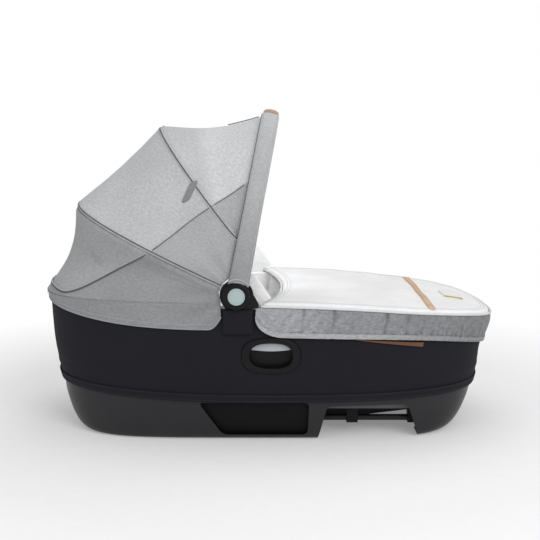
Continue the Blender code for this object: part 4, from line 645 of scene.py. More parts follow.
@dataclass(frozen=True)
class Pressed(Finish):
    """Pressed fibre board: short fibres of lighter and darker brown."""

    name: str
    colour: Colour

    def build(self) -> bpy.types.Material:
        """Fibres are noise of two stretches, one over the other."""
        tree = Tree(self.name)
        along = tree.noise(tree.place(Lie.SOLID, (0.3, 2, 1)), 260, 4)
        across = tree.noise(tree.place(Lie.SOLID, (2, 0.3, 1)), 260, 4)
        fibres = tree.sum("MAXIMUM", along, across)
        colour = tree.blend(tree.between(fibres, 0.45, 0.75), rgba(self.colour, 0.75), rgba(self.colour, 1.15))
        return tree.finish(colour, 0.85, tree.relief(fibres, 0.0002, 0.5))


# Cloths with shade_mark=True get painted light and shade from their pieces' shade marks; the canopy cloth is also
# painted darker below the zip.
GREY_MELANGE = Cloth("grey_melange_cloth", (0.56, 0.57, 0.58), (0.30, 0.305, 0.32), 0.55, shade_mark=True, mottle=0.09)
CANOPY_CLOTH = Cloth(
    "canopy_cloth", (0.56, 0.57, 0.58), (0.30, 0.305, 0.32), 0.55,
    shade_mark=True, zone=0.80, mottle=0.11,
)
BAND_CLOTH = Cloth("band_cloth", (0.30, 0.307, 0.32), (0.12, 0.123, 0.13), 0.6, shade_mark=True, mottle=0.18)
HEM_CLOTH = Cloth("hem_cloth", (0.42, 0.425, 0.435), (0.27, 0.275, 0.285), 0.5, shade_mark=True, mottle=0.15)
APRON_CLOTH = Cloth("apron_cloth", (0.88, 0.88, 0.885), (0.72, 0.72, 0.735), 0.35, shade_mark=True, mottle=0.02)
SEAM_CLOTH = Cloth("seam_cloth", (0.14, 0.14, 0.147), (0.07, 0.07, 0.074), 0.5)
PIPING_CLOTH = Cloth("piping_cloth", (0.50, 0.50, 0.51), (0.30, 0.30, 0.31), 0.5)
APRON_EDGING = Cloth("apron_edging", (0.72, 0.72, 0.73), (0.52, 0.52, 0.54), 0.4)
NAVY_CLOTH = Cloth("navy_cloth", (0.0090, 0.0080, 0.0125), (0.0135, 0.0128, 0.0185), 0.5, 0.0008, 0.0002, 0.015, 0.86)
LINER_CLOTH = Cloth("liner_cloth", (0.85, 0.85, 0.855), (0.74, 0.74, 0.745), 0.35, 0.0007)
MATTRESS_CLOTH = Cloth("mattress_cloth", (0.80, 0.80, 0.78), (0.70, 0.70, 0.69), 0.35, 0.0012)
THREAD_PALE = Cloth("pale_thread", (0.62, 0.62, 0.63), (0.45, 0.45, 0.46), 0.4, 0.0004)
THREAD_DARK = Cloth("dark_thread", (0.05, 0.05, 0.06), (0.02, 0.02, 0.025), 0.4, 0.0004)
THREAD_TAN = Cloth("tan_thread", (0.55, 0.36, 0.20), (0.40, 0.25, 0.13), 0.4, 0.0004)
LABEL_CLOTH = Cloth("label_cloth", (0.90, 0.89, 0.86), (0.70, 0.69, 0.66), 0.3, 0.0005)
LABEL_EDGE = Cloth("label_edge_cloth", (0.62, 0.44, 0.12), (0.44, 0.30, 0.08), 0.4, 0.0005)
BASE_PLASTIC = Moulded("base_plastic_satin", (0.019, 0.0182, 0.0205), 0.38, 0.00004, 1300, 0.04, 0.26)
PANEL_PLASTIC = Moulded("panel_plastic_dull", (0.0045, 0.004, 0.0045), 0.62, gloss=0.14)
DECK_PLASTIC = Moulded("deck_plastic_grey", (0.20, 0.20, 0.21), 0.55)
RAIL_PLASTIC = Moulded("rail_plastic_grey", (0.16, 0.155, 0.16), 0.5, gloss=0.2, black_below=0.0455)
KEEL_PLASTIC = Moulded("keel_plastic_black", (0.007, 0.007, 0.0075), 0.5, gloss=0.2)
TUB_PLASTIC = Moulded("tub_plastic_grey", (0.25, 0.25, 0.26), 0.5)
HUB_PLASTIC = Moulded("hub_plastic_black", (0.005, 0.0048, 0.0054), 0.36, 0.00003, 1500, 0.0, 0.18)
BUTTON_PLASTIC = Moulded("button_plastic_mint", (0.385, 0.465, 0.47), 0.38, 0.00003, 1500)
LEVER_PLASTIC = Moulded("lever_plastic_grey", (0.43, 0.455, 0.485), 0.40, 0.00003, 1500)
BRACKET_PLASTIC = Moulded("bracket_plastic_green_black", (0.008, 0.008, 0.0065), 0.45, gloss=0.18)
BATTEN_PLASTIC = Moulded("batten_plastic_clear", (0.70, 0.71, 0.71), 0.35)
ALUMINIUM = Metal("aluminium_drawn", (0.60, 0.60, 0.62), 0.34)
SPRING_STEEL = Metal("spring_steel_wire", (0.50, 0.50, 0.52), 0.28)
BAR_STEEL = Metal("bar_steel_black", (0.02, 0.02, 0.02), 0.40, 0.6)
COGNAC_HIDE = Hide("cognac_leather", (0.15, 0.052, 0.024), 0.62)
TAN_HIDE = Hide("tan_leather", (0.72, 0.47, 0.29), 0.5)
GRIP_HIDE = Hide("grip_leather", (0.47, 0.30, 0.21), 0.5)
BOARD_FIBRE = Pressed("board_fibre", (0.50, 0.38, 0.25))


def follow(piece: Piece, bodies: tuple[str, str]) -> None:
    """Makes a piece fold between two bodies, each point by its own share, kept in its mark turned."""
    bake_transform(piece, *bodies, start=(-0.1, 0, 0.3), end=(0.1, 0, 0.3))
    mesh = piece.data
    shares = np.empty(len(mesh.vertices), dtype=np.float32)
    mesh.attributes["turned"].data.foreach_get("value", shares)
    mesh.attributes["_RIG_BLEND"].data.foreach_set("value", shares)


def dress(piece: Piece, finish: Finish, body: str | tuple[str, str] = "carrycot", node: str = "") -> Piece:
    """Gives a new piece its finish and its place in the frame.

    Args:
        piece: the piece.
        finish: what it is made of.
        body: the body that it rides, or the two that it folds between.
        node: the frame's node that it stands for, if any.

    Returns:
        The piece.
    """
    piece.data.materials.clear()
    piece.data.materials.append(finish.material())
    if isinstance(body, str):
        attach(piece, body)
    else:
        follow(piece, body)
    if node:
        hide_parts(node)
    LOG.info("%s: %d faces", piece.name, len(piece.data.polygons))
    return piece


def add_piece(
    name: str,
    finish: Finish,
    slot: str,
    *shapes: Grid | Array,
    body: str | tuple[str, str] = "carrycot",
    node: str = "",
    wall: float = 0.0,
    **options: object,
) -> Piece:
    """Makes a piece and dresses it.

    Args:
        name: the piece's name.
        finish: what it is made of.
        slot: the record's slot; not used.
        shapes: its grids.
        body: the body that it rides, or the two that it folds between.
        node: the frame's node that it stands for, if any.
        wall: the thickness of an open sheet, put on its front.
        options: where an open sheet faces away from, and its crease.

    Returns:
        The piece.
    """
    piece = make_piece(name, *shapes, **options)
    if wall:
        thicken(piece, wall)
    return dress(piece, finish, body, node)


def dress_nodes(finish: Finish, *names: str) -> None:
    """Gives nodes of the frame a finish."""
    for name in names:
        for slot in bpy.data.objects[name].material_slots:
            slot.material = finish.material()


# Plan of the carrycot


@dataclass(frozen=True)
class Section:
    """A level plan outline: a superellipse between a head and a foot end."""

    head: Array | float
    foot: Array | float
    half_width: Array | float
    power: Array | float = 3.0

    def at(self, angles: Array, inset: Array | float = 0.0) -> tuple[Array, Array]:
        """Centre plus the superellipse times half the length and half the width, less the inset."""
        x, y = superellipse(angles, self.power)
        half = (np.asarray(self.foot) - self.head) / 2
        return (np.asarray(self.head) + self.foot) / 2 + x * (half - inset), y * (self.half_width - inset)

    def towards(self, other: "Section", head: Array, foot: Array, side: Array, power: Array | float = 3.0) -> "Section":
        """The outline at shares of the way to another one: its head end, its foot end and its sides."""
        return Section(
            self.head + head * (other.head - self.head),
            self.foot + foot * (other.foot - self.foot),
            self.half_width + side * (other.half_width - self.half_width),
            power,
        )


@dataclass(frozen=True)
class Plan:
    """The heights and outlines that the base, cover, liner and apron share."""

    head: float = -0.405
    foot: float = 0.405
    half_width: float = 0.205
    rim: float = 0.238
    rim_drop: float = 0.045
    rim_drop_power: float = 4.5
    hem: Section = Section(-0.3872, 0.3792, 0.1982)
    hem_height: float = 0.072
    hem_head_rise: float = 0.016
    hem_foot_rise: float = 0.007
    levels: tuple[float, ...] = (0, 0.12, 0.27, 0.52, 1)
    side_shares: tuple[float, ...] = (0, 0.50, 0.93, 1, 1)
    head_shares: tuple[float, ...] = (0, 0.25, 0.50, 0.72, 1)
    foot_shares: tuple[float, ...] = (0, 0.14, 0.28, 0.40, 1)

    @property
    def edge(self) -> Section:
        """The rim's outline."""
        return Section(self.head, self.foot, self.half_width)

    def rim_height(self, x: Array) -> Array:
        """Level at the head, and falling by a power of the distance towards the foot."""
        share = np.clip((np.asarray(x) - self.head) / (self.foot - self.head), 0, None)
        return self.rim - self.rim_drop * share**self.rim_drop_power

    def hem_line(self, x: Array) -> Array:
        """Lowest in the middle, rising by the square of the distance to each end."""
        x = np.asarray(x, float)
        head = self.hem_head_rise * np.clip(x / self.hem.head, 0, None) ** 2
        return self.hem_height + head + self.hem_foot_rise * np.clip(x / self.hem.foot, 0, None) ** 2

    def cover(self, level: Array) -> Section:
        """The cover's outline at a share of the way from its hem to the rim."""
        shares = (self.head_shares, self.foot_shares, self.side_shares)
        return self.hem.towards(self.edge, *(smooth_curve(level, self.levels, share) for share in shares))

    def cover_points(self, angles: Array, level: Array, out: Array | float = 0.0) -> Array:
        """Points on the cover at an angle and a share of its height, moved outwards."""
        x, y = self.cover(level).at(angles)
        low = self.hem_line(x)
        return self.outwards(xyz(x, y, low + level * (self.rim_height(x) - low)), out)

    def outwards(self, points: Array, out: Array | float) -> Array:
        """Moves points level and away from the middle, square to the plan as near as it matters."""
        way = unit(signed_power(points[..., :2] / (self.foot, self.half_width), 2.0))
        moved = points.copy()
        moved[..., :2] += way * column(out, points.shape[:-1])
        return moved

    def level_at(self, x: Array, z: Array) -> Array:
        """The share of the way from hem to rim at which the cover is at a height."""
        low = self.hem_line(x)
        return np.clip((z - low) / (self.rim_height(x) - low), 0, 1)

    def even_angles(self, count: int, start: float = 0.0, end: float = FULL_TURN) -> Array:
        """Angles at equal distances round the rim, from one angle to another."""
        fine = np.linspace(start, end, 8001)
        walked = length_along(np.stack(self.edge.at(fine), axis=1), 0)
        return np.interp(np.linspace(0, walked[-1], count), walked, fine)

    def side_angle(self, x: float) -> float:
        """The angle at which the rim's outline is at a place along the left side."""
        share = (x - (self.foot + self.head) / 2) / ((self.foot - self.head) / 2)
        return math.acos(math.copysign(abs(share) ** 1.5, share))


PLAN = Plan()
HUB = np.array([-0.0564, 0.0, 0.2613])
HUB_X, _, HUB_Z = HUB
GRIP_X = 0.0017
GRIP_Z = 0.1565


@dataclass(frozen=True)
class Arch:
    """A plane superellipse arch that stands on an axis across the carrycot."""

    x: float
    z: float
    tilt: float
    reach: float
    power: float
    half_width: float

    @property
    def up(self) -> Array:
        """The direction of the arch's height."""
        lean = math.radians(self.tilt)
        return np.array([-math.sin(lean), 0, math.cos(lean)])

    @property
    def across(self) -> Array:
        """The direction square to the arch's plane, towards the foot end."""
        lean = math.radians(self.tilt)
        return np.array([math.cos(lean), 0, math.sin(lean)])

    def flat(self, angles: Array) -> Array:
        """The arch in its own plane: half width times cosine and reach times sine, both drawn out."""
        y, r = superellipse(angles, self.power)
        return np.stack([y * self.half_width, r * self.reach], axis=-1)

    def outward(self, angles: Array) -> Array:
        """Unit direction away from the arch's middle, in space."""
        heading = unit(self.flat(angles + 0.001) - self.flat(angles - 0.001))
        return heading[..., 1:] * SIDEWAYS - heading[..., :1] * self.up

    def points(self, angles: Array, out: Array | float = 0.0, side: Array | float = 0.0) -> Array:
        """Points of the arch, moved outwards in its plane and forwards across it."""
        flat = self.flat(angles)
        place = np.array([self.x, 0, self.z]) + flat[..., :1] * SIDEWAYS + flat[..., 1:] * self.up
        return place + column(out, angles.shape) * self.outward(angles) + column(side, angles.shape) * self.across

    def angle_at(self, height: float) -> float:
        """The angle at which the arch is a height above its foot."""
        return math.asin((height / self.reach) ** (self.power / 2))

    def spread(self, start: float, count: int, end: float | None = None, turning: float = 0.55) -> Array:
        """Angles from a start to its mirror image, closer together where the arch turns.

        The step is a share of the distance walked plus a share of the turn made.

        Args:
            start: first angle.
            count: how many angles.
            end: last angle, or none for the mirror image of the first.
            turning: share of the turn; 0 gives equal distances.

        Returns:
            The angles.
        """
        fine = np.linspace(start, math.pi - start if end is None else end, 4001)
        change = np.diff(self.flat(fine), axis=0)
        step = np.linalg.norm(change, axis=1)
        heading = np.unwrap(np.arctan2(change[:, 1], change[:, 0]))
        turn = np.abs(np.diff(heading, prepend=heading[0]))
        weight = (1 - turning) * step / step.sum() + turning * turn / max(turn.sum(), 1e-9)
        walked = np.concatenate([[0], np.cumsum(weight)])
        return np.interp(np.linspace(0, walked[-1], count), walked, fine)


HANDLE_ARCH = Arch(HUB_X, HUB_Z, -10.9, 0.309, 2.58, 0.2155)
REAR_ARCH = Arch(HUB_X, HUB_Z, 64.85, 0.3235, 2.60, 0.203)
BATTEN_ARCH = Arch(HUB_X + 0.0034, HUB_Z + 0.0907, 38.6, 0.236, 1.80, 0.2025)


def sweep(arch: Arch, angles: Array, width: Array, thickness: Array, power: float = 2.4, sides: int = 48) -> Array:
    """A rounded bar along an arch: a superellipse section, its width across the arch's plane.

    Args:
        arch: the line of the bar's middle.
        angles: where the sections stand.
        width: the section's width at each angle.
        thickness: its thickness at each angle.
        power: how square the section is.
        sides: points round the section.

    Returns:
        The grid of its points, its ends closed at their middles.
    """
    wide, thick = outline(sides + 1, power)
    rows = np.broadcast_to(angles[:, None], (len(angles), sides + 1))
    wide, thick = wide * column(width, angles.shape) / 2, thick * column(thickness, angles.shape) / 2
    return capped(arch.points(rows, thick, wide), arch.points(angles))


# Base


@dataclass
class Base:
    """The moulded tray with its flange, the windows and notches in its sides, and what it holds."""

    bottom: Section = Section(-0.325, 0.303, 0.166)
    top: Section = Section(-0.385, 0.377, 0.196)
    lip: float = 0.098
    wall: float = 0.003
    flange: float = 0.022
    floor_power: float = 5.2
    levels: tuple[float, ...] = (0, 0.015, 0.06, 0.16, 0.40, 0.72, 1)
    spreads: tuple[float, ...] = (0, 0.20, 0.38, 0.56, 0.78, 0.95, 1)
    notch: tuple[Pair, ...] = (
        (0.077, -0.02), (0.0835, 0.0), (0.099, 0.064), (0.241, 0.064), (0.262, 0.0), (0.268, -0.02),
    )
    window: tuple[Pair, ...] = ((-0.082, 0.009), (0.0655, 0.009), (0.0680, 0.071), (-0.124, 0.071))
    corner: float = 0.010
    cut_reach: float = 0.25

    def section(self, height: Array) -> Section:
        """The outer outline at a height, squarer at the floor: a smooth curve through the spreads."""
        spread = smooth_curve(np.asarray(height) / self.lip, self.levels, self.spreads)
        power = self.floor_power + spread * (PLAN.hem.power - self.floor_power)
        return self.bottom.towards(self.top, spread, spread, spread, power)

    def cutter(self, corners: tuple[Pair, ...]) -> Piece:
        """A prism across the whole base, with its ends closed."""
        line = rounded(corners, self.corner)
        middle = line.mean(axis=0)
        line = np.concatenate([line, line[:1]])
        rows = [(middle[None] + 0 * line, -1), (line, -1), (line, 1), (middle[None] + 0 * line, 1)]
        return make_piece("opening", np.stack([xyz(r[:, 0], way * self.cut_reach, r[:, 1]) for r, way in rows]))

    def build_shell(self) -> None:
        """The tray from its flange up to its lip, thickened inwards and cut by the openings."""
        angles = PLAN.even_angles(361)
        heights = np.concatenate([np.linspace(0, 0.02, 6), np.linspace(0.03, 0.2, 12), np.linspace(0.23, 1, 22)])
        columns, rows = np.meshgrid(angles, self.lip * heights)
        body = xyz(*self.section(rows).at(columns), rows)
        inner = [xyz(*self.section(0.0).at(angles, inset), 0) for inset in (self.flange, self.flange / 2, self.wall)]
        shell = make_piece("base_tray", np.concatenate([inner, body]), away_from=(0, 0, 0.06), crease=60)
        thicken(shell, self.wall, inward=True)
        for corners in (self.notch, self.window):
            hole = self.cutter(corners)
            cut = shell.modifiers.new("opening", "BOOLEAN")
            cut.object = hole
            cut.solver = "EXACT"
            settle(shell)
            bpy.data.objects.remove(hole)
        shell.data.set_sharp_from_angle(angle=math.radians(50))
        dress(shell, BASE_PLASTIC, node="base_shell")

    def build(self) -> None:
        """Makes the tray and gives the nodes inside it their finishes."""
        self.build_shell()
        dress_nodes(PANEL_PLASTIC, "side_panel_left", "side_panel_right")
        dress_nodes(DECK_PLASTIC, "deck_panel")
        dress_nodes(RAIL_PLASTIC, "deck_rail_left", "deck_rail_right")
        dress_nodes(KEEL_PLASTIC, "keel_housing")
        dress_nodes(BAR_STEEL, "striker_bar_left", "striker_bar_right")
        dress_nodes(TUB_PLASTIC, "tub_shell")


# Side cover


@dataclass
class SideCover:
    """The dark fabric round the tub, its bound hem, the leather tag and the pockets over the brackets."""

    columns: int = 721
    rows: int = 90
    wall: float = 0.0015
    slack_fold: float = 0.0011
    wide_fold: float = 0.0010
    most_lift: float = 0.0012
    hole_z: float = 0.1580
    hole: Pair = (0.045, 0.0285)
    binding: float = 0.015
    tag: Pair = (0.146, 0.265)
    tag_top: float = 0.1845
    tag_fall: float = 0.0090
    tag_tip: float = 0.0010
    tag_width: float = 0.0070
    pocket_x: Pair = (-0.0808, -0.0284)
    pocket_z: Pair = (0.1935, 0.2372)
    pocket_depth: float = 0.0085
    pocket_border: float = 0.0046

    def wrinkle(self, x: Array, level: Array, walked: Array) -> Array:
        """Height of the fabric's folds: slack at the ends above the hem, drawn tight at rim and hem."""
        slack = ease(np.abs(x), 0.20, 0.37) * 0.8 + 0.2
        held = np.sin(math.pi * np.clip(level, 0, 1)) ** 0.7
        low = bump(level, 0.22, 0.16) * folds(walked, level * 0.14, 3, 7, 0.20, 0.022) * self.slack_fold
        wide = folds(walked, level * 0.14, 8, 5, 0.32, 0.11) * self.wide_fold
        return held * (slack * low + wide)

    def build_cover(self) -> None:
        """The fabric's face on the plan's outlines, plus its folds, open where the grips sit."""
        columns, rows = np.meshgrid(PLAN.even_angles(self.columns), np.linspace(0, 1, self.rows))
        flat = PLAN.cover_points(columns, rows)
        walked = length_along(flat, 1)
        near_grip = bump(flat[..., 0], GRIP_X, 0.06) * bump(flat[..., 2], GRIP_Z, 0.04)
        lift = np.minimum(self.wrinkle(flat[..., 0], rows, walked) * (1 - near_grip), self.most_lift)
        points = PLAN.outwards(flat, lift - 0.0004 * (rows > 0.02))
        uv = np.stack([walked, flat[..., 2]], axis=-1)
        cover = make_piece("cover_fabric", Grid(points, uv), away_from=(0, 0, 0.15))
        self.open_for_grips(cover.data)
        thicken(cover, self.wall, inward=True)
        dress(cover, NAVY_CLOTH, node="side_cover")
        declare_sheet([points])

    def open_for_grips(self, mesh: bpy.types.Mesh) -> None:
        """Takes out the faces behind the grips' bezels, by their distance in the grip's oval."""
        centres = np.empty(len(mesh.polygons) * 3, dtype=np.float32)
        mesh.polygons.foreach_get("center", centres)
        x, y, z = np.abs(centres.reshape(-1, 3) - (GRIP_X, 0, self.hole_z)).T
        inside = ((x / self.hole[0]) ** 2.6 + (z / self.hole[1]) ** 2.6 < 1) & (y > 0.15)
        build = bmesh.new()
        build.from_mesh(mesh)
        build.faces.ensure_lookup_table()
        bmesh.ops.delete(build, geom=[build.faces[n] for n in np.flatnonzero(inside)], context="FACES")
        build.to_mesh(mesh)
        build.free()

    def build_binding(self) -> None:
        """The tape round the hem: a flattened loop whose edges roll in, following the hem line."""
        angles = PLAN.even_angles(self.columns)
        over, out = outline(25, 5)
        rise, out = self.binding / 2 * (1 + over[:, None]), out[:, None]
        x, _ = PLAN.cover(0.0).at(angles)
        z = PLAN.hem_line(x) + rise
        section = PLAN.cover(PLAN.level_at(np.broadcast_to(x, z.shape), z))
        puff = 0.0012 + 0.0009 * out + 0.00025 * np.sin(angles * 260) * (out > 0.5)
        points = PLAN.outwards(xyz(*section.at(np.broadcast_to(angles, z.shape)), z), puff)
        walked = length_along(points, 1)
        uv = np.stack(np.broadcast_arrays(walked, rise), axis=-1)
        add_piece("hem_binding", NAVY_CLOTH, "navy_fabric", Grid(points, uv), node="cover_hem_binding")
        for word, share in (("high", 0.84), ("low", 0.2)):
            level = PLAN.level_at(x, PLAN.hem_line(x) + share * self.binding)
            line = resample(PLAN.cover_points(angles, level, 0.0021), 3000)
            add_piece("binding_stitches_" + word, THREAD_DARK, "navy_fabric", *stitches(line))

    def build_tag(self) -> None:
        """A thin leather wedge: width grows with the distance from its tip, edges rounded over."""
        along = np.linspace(0, 1, 61)[:, None]
        over, out = outline(21, 4)
        x = self.tag[0] + along * (self.tag[1] - self.tag[0])
        near_end = (1 - np.minimum(along, 1 - along) / 0.02).clip(0)
        width = (self.tag_tip + self.tag_width * along**0.9) * np.sqrt(np.clip(1 - near_end**2, 0, 1))
        z = self.tag_top - self.tag_fall * along - width / 2 + over * width / 2
        side = PLAN.half_width * (1 - np.abs(x / PLAN.foot) ** 3) ** (1 / 3)
        y = -(side + 0.0010 + 0.0006 * out * (width > 1e-5))
        add_piece("side_tag_leather", COGNAC_HIDE, "leather", xyz(x, y, z), node="side_tag")

    def build_pocket(self, side: Side) -> None:
        """A pocket of the cover's fabric over a hinge bracket: raised inside its sewn border, open at its top."""
        x, z = np.meshgrid(np.linspace(*self.pocket_x, 61), np.linspace(*self.pocket_z, 51))
        inside = np.minimum(np.minimum(x - self.pocket_x[0], self.pocket_x[1] - x), z - self.pocket_z[0])
        depth = self.pocket_depth + 0.0003 * folds(x, z, 15, 5, 0.06, 0.03)
        y = side.value * (PLAN.half_width - 0.0009 + depth * ease(inside, 0.0, self.pocket_border))
        name = "bracket_pocket_" + side.word
        add_piece(name, NAVY_CLOTH, "navy_fabric", xyz(x, y, z), wall=0.0008, away_from=(-0.05, 0, 0.2))

    def build(self) -> None:
        """Makes the fabric, its binding, its tag and the pockets over the brackets."""
        self.build_cover()
        self.build_binding()
        self.build_tag()
        for side in Side:
            self.build_pocket(side)


# Liner and bed


@dataclass
class Liner:
    """The padded wall inside the tub, sewn in upright channels, and the ears by the hubs."""

    channels: int = 56
    per_channel: int = 12
    thickness: float = 0.0155
    outer: float = 0.0067
    grip_depth: float = 0.0190
    low: float = 0.10
    seam_depth: float = 0.0052
    cushion: float = 0.0014
    crest: float = 0.0034
    ear: tuple[Pair, ...] = (
        (-0.066, 0.2385), (-0.0140, 0.2385), (-0.0138, 0.2460), (0.0035, 0.2535), (-0.0264, 0.2975), (-0.058, 0.291),
    )
    ear_corner: float = 0.005
    ear_half: float = 0.0030
    ear_y: float = 0.1955
    ear_shares: tuple[float, ...] = (0, 0.35, 0.7, 0.88, 0.97, 1)
    ear_swells: tuple[float, ...] = (1.0, 0.98, 0.86, 0.64, 0.34, 0)

    def grip_room(self, points: Array) -> Array:
        """1 where a grip's cup stands behind the fabric, easing to 0 round it."""
        x, z = np.abs(points[..., 0] - GRIP_X), points[..., 2]
        return (1 - ease(x, 0.044, 0.056)) * ease(z, 0.112, 0.126) * (1 - ease(z, 0.192, 0.204))

    def wall_ring(self, angles: Array, level: float, depth: Array | float, room_depth: Array | float) -> Array:
        """A level ring inside the cover, further in where it makes room for a grip."""
        levels = np.full_like(angles, level)
        room = self.grip_room(PLAN.cover_points(angles, levels))
        return PLAN.cover_points(angles, levels, -(depth + room * (room_depth - depth)))

    def build_wall(self) -> None:
        """Inner face in channels: each swells by a power of a sine between seams drawn towards the wall."""
        angles = PLAN.even_angles(self.channels * self.per_channel + 1)
        swell = np.abs(np.sin(np.arange(len(angles)) / self.per_channel * math.pi)) ** 0.55
        inside, low = self.outer + self.thickness, self.low
        inner = []
        for level in np.concatenate([np.linspace(low, 0.985, 46), [0.993, 1.0]]):
            fade = (1 - 0.55 * ease(level, 0.80, 1.0)) * ease(level, low, low + 0.1)
            seam = self.seam_depth * (1 - swell) * fade
            cushion = self.cushion * folds(angles * 0.3, level * 0.2, 5, 5, 0.3, 0.1)
            inner.append(self.wall_ring(angles, level, inside - seam + cushion, inside + cushion))
        inner[-1][:, 2] += 0.0008
        crest = []
        for turn in np.linspace(0.15, math.pi - 0.15, 9):
            out = self.outer + self.thickness / 2 + self.thickness / 2 * math.cos(turn)
            ring = PLAN.cover_points(angles, np.ones_like(angles), -out)
            ring[:, 2] += self.crest * math.sin(turn) - 0.0006 + 0.0006 * swell
            crest.append(ring)
        outer = [self.wall_ring(angles, level, self.outer, self.grip_depth) for level in np.linspace(0.99, low, 30)]
        rows = np.array(inner + crest + outer + inner[:1])
        liner = add_piece("liner_wall", LINER_CLOTH, "liner_fabric", rows, node="liner")

    def build_ear(self, side: Side) -> None:
        """A padded ear: an outline drawn in towards its middle, thick where it is far from the edge."""
        line = resample(rounded(self.ear, self.ear_corner), 160)
        line = np.concatenate([line, line[:1]])
        middle = line.mean(axis=0)
        rows = []
        for share, swell in zip(self.ear_shares, self.ear_swells):
            x, z = (middle + share * (line - middle)).T
            quilt = 0.0007 * np.abs(np.sin((x + z) * 260)) * share * (1 - share) * 4
            rows.append(xyz(x, self.ear_half * swell - quilt, z))
        rows += [row * (1, -1, 1) for row in rows[-2::-1]]
        points = (np.array(rows) + self.ear_y * SIDEWAYS) * (1, side.value, 1)
        node = "liner_ear_" + side.word
        ear = add_piece("liner_ear_pad_" + side.word, LINER_CLOTH, "liner_fabric", points, node=node)

    def build(self) -> None:
        """Makes the wall and both ears."""
        self.build_wall()
        for side in Side:
            self.build_ear(side)


@dataclass
class Bed:
    """The mattress with its piped edge, on its board."""

    section: Section = Section(-0.356, 0.348, 0.167)
    low: float = 0.0765
    thickness: float = 0.027
    crown: float = 0.0055
    tuft: float = 0.0016
    round_over: float = 0.011
    piping: float = 0.0015
    slot: str = "mattress_fabric"

    def build(self) -> None:
        """A closed pad: rings run from the middle of the underside out round the edge and back over the top."""
        angles = PLAN.even_angles(321)
        inward, rise = superellipse(np.linspace(-math.pi / 2, math.pi / 2, 17), 2.6)
        shares = np.linspace(0, 0.985, 40)
        rings = [(share, 0.0, 0.0) for share in shares]
        rings += [(1.0, inset, height) for inset, height in zip(self.round_over * (1 - inward), (rise + 1) / 2)]
        rings += [(share, self.round_over, 1.0) for share in shares[::-1]]
        rows = []
        for share, inset, height in rings:
            x, y = self.section.at(angles, inset + FIT)
            x, y = x * share - 0.004 * (1 - share), y * share
            top = (self.crown + self.tuft * folds(x, y, 11, 6, 0.30, 0.16)) * (1 - share**4)
            rows.append(xyz(x, y, self.low + self.thickness * height + max(2 * height - 1, 0) * top))
        points = np.array(rows)
        pad = Grid(points, points[..., :2])
        mattress = add_piece("mattress_pad", MATTRESS_CLOTH, self.slot, pad, node="mattress")
        line = xyz(*self.section.at(angles, FIT + 0.001), self.low + self.thickness * 0.86)[:-1]
        add_piece("mattress_piping", LINER_CLOTH, self.slot, tube(line, self.piping, loop=True))
        dress_nodes(BOARD_FIBRE, "mattress_board")


# Side grips


